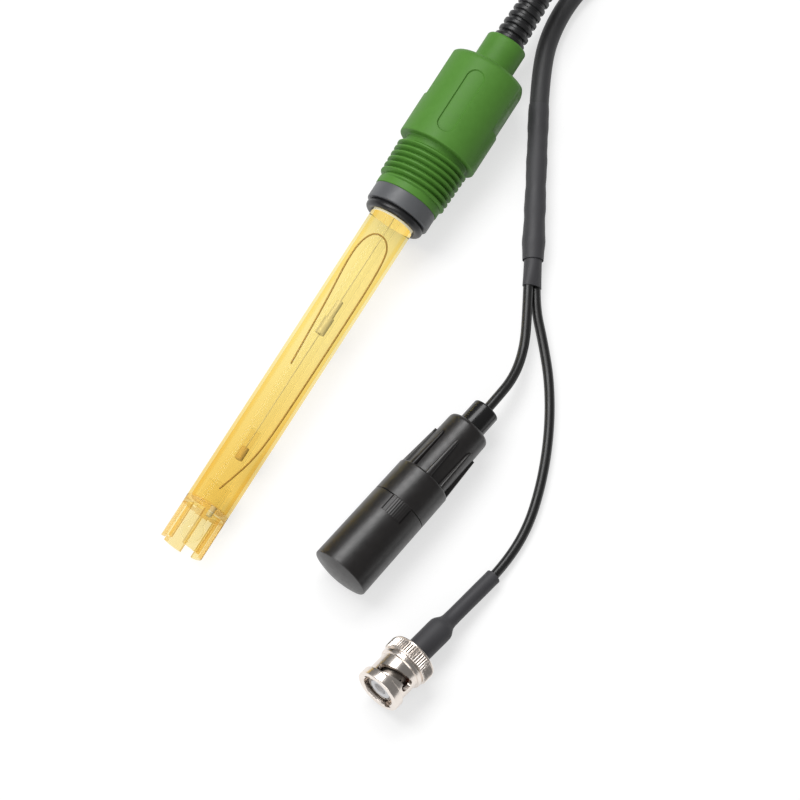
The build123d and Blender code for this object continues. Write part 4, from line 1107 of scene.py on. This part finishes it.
# Studio: a white table that keeps soft shadows, one large soft lamp above and behind the left
# side, a weak one in front, and a camera above the table, at the photograph's angle.
def seen_straight(tree, ray, *kinds):
    """Socket that is 1 for these kinds of ray, before any diffuse bounce."""
    seen = ray[kinds[0]]
    for kind in kinds[1:]:
        seen = math_in(tree, "MAXIMUM", seen, ray[kind])
    straight = math_in(tree, "LESS_THAN", ray["Diffuse Depth"], 0.5)
    return math_in(tree, "MULTIPLY", seen, straight)


table_half, table_drop, table_glow = 3, -0.00005, 0.63
table_corners = [
    (x * table_half, y * table_half, table_drop) for x, y in ((-1, -1), (1, -1), (1, 1), (-1, 1))]
table_mesh = bpy.data.meshes.new("table")
table_mesh.from_pydata(table_corners, [], [(0, 1, 2, 3)])
table_white, tree, shader = new_material("white_table")
feed(tree, shader, {"Base Color": (0.44, 0.44, 0.44, 1), "Roughness": 0.9, "Specular IOR Level": 0.1})
ray = node_in(tree, "ShaderNodeLightPath", {}).outputs
seen = seen_straight(tree, ray, "Is Camera Ray", "Is Glossy Ray", "Is Transmission Ray")
glow = node_in(tree, "ShaderNodeEmission", {"Strength": math_in(tree, "MULTIPLY", seen, table_glow)})
both = node_in(tree, "ShaderNodeAddShader", {0: shader.outputs["BSDF"], 1: glow.outputs["Emission"]})
feed(tree, tree.nodes["Material Output"], {"Surface": both.outputs["Shader"]})
table_mesh.materials.append(table_white)
added("table", table_mesh)

view_right = Vector((0.5257, -0.8507, 0))
view_ahead = Vector((0.8507, 0.5257, 0))
look_at = Vector((-0.0269, -0.0272, 0))


def facing_middle(thing, place):
    """Puts a lamp or a camera in its place, facing the middle of the view."""
    thing.location = place
    thing.rotation_euler = (look_at - Vector(place)).to_track_quat("-Z", "Y").to_euler()


def soft_box(name, right, ahead, up, width, height, power):
    """Large soft lamp, its place given in metres from the middle of the view."""
    lamp = bpy.data.lights.new(name, "AREA")
    lamp.shape = "RECTANGLE"
    lamp.size = width
    lamp.size_y = height
    lamp.energy = power
    facing_middle(added(name, lamp), look_at + view_right * right + view_ahead * ahead + Vector((0, 0, up)))


soft_box("key_box", -0.34, 0.55, 1.15, 1.35, 0.64, 14.0)
soft_box("front_box", -0.60, -0.90, 0.55, 0.9, 0.6, 4.2)

world = bpy.data.worlds.new("studio")
world.use_nodes = True
tree = world.node_tree
ray = node_in(tree, "ShaderNodeLightPath", {}).outputs
seen = seen_straight(tree, ray, "Is Camera Ray", "Is Transmission Ray")
mirrored = math_in(tree, "MULTIPLY_ADD", ray["Is Glossy Ray"], -0.06, 0.26)
feed(tree, tree.nodes["Background"], {
    "Color": (1, 1, 1, 1), "Strength": math_in(tree, "MAXIMUM", seen, mirrored)})
bpy.context.scene.world = world

camera = bpy.data.cameras.new("camera")
camera.sensor_width = 36
camera.sensor_fit = "HORIZONTAL"
camera.lens = 327.5
camera_object = added("camera", camera)
facing_middle(camera_object, (-0.5808, -0.3695, 1.8910))
bpy.context.scene.camera = camera_object
bpy.context.scene.view_settings.view_transform = "Standard"
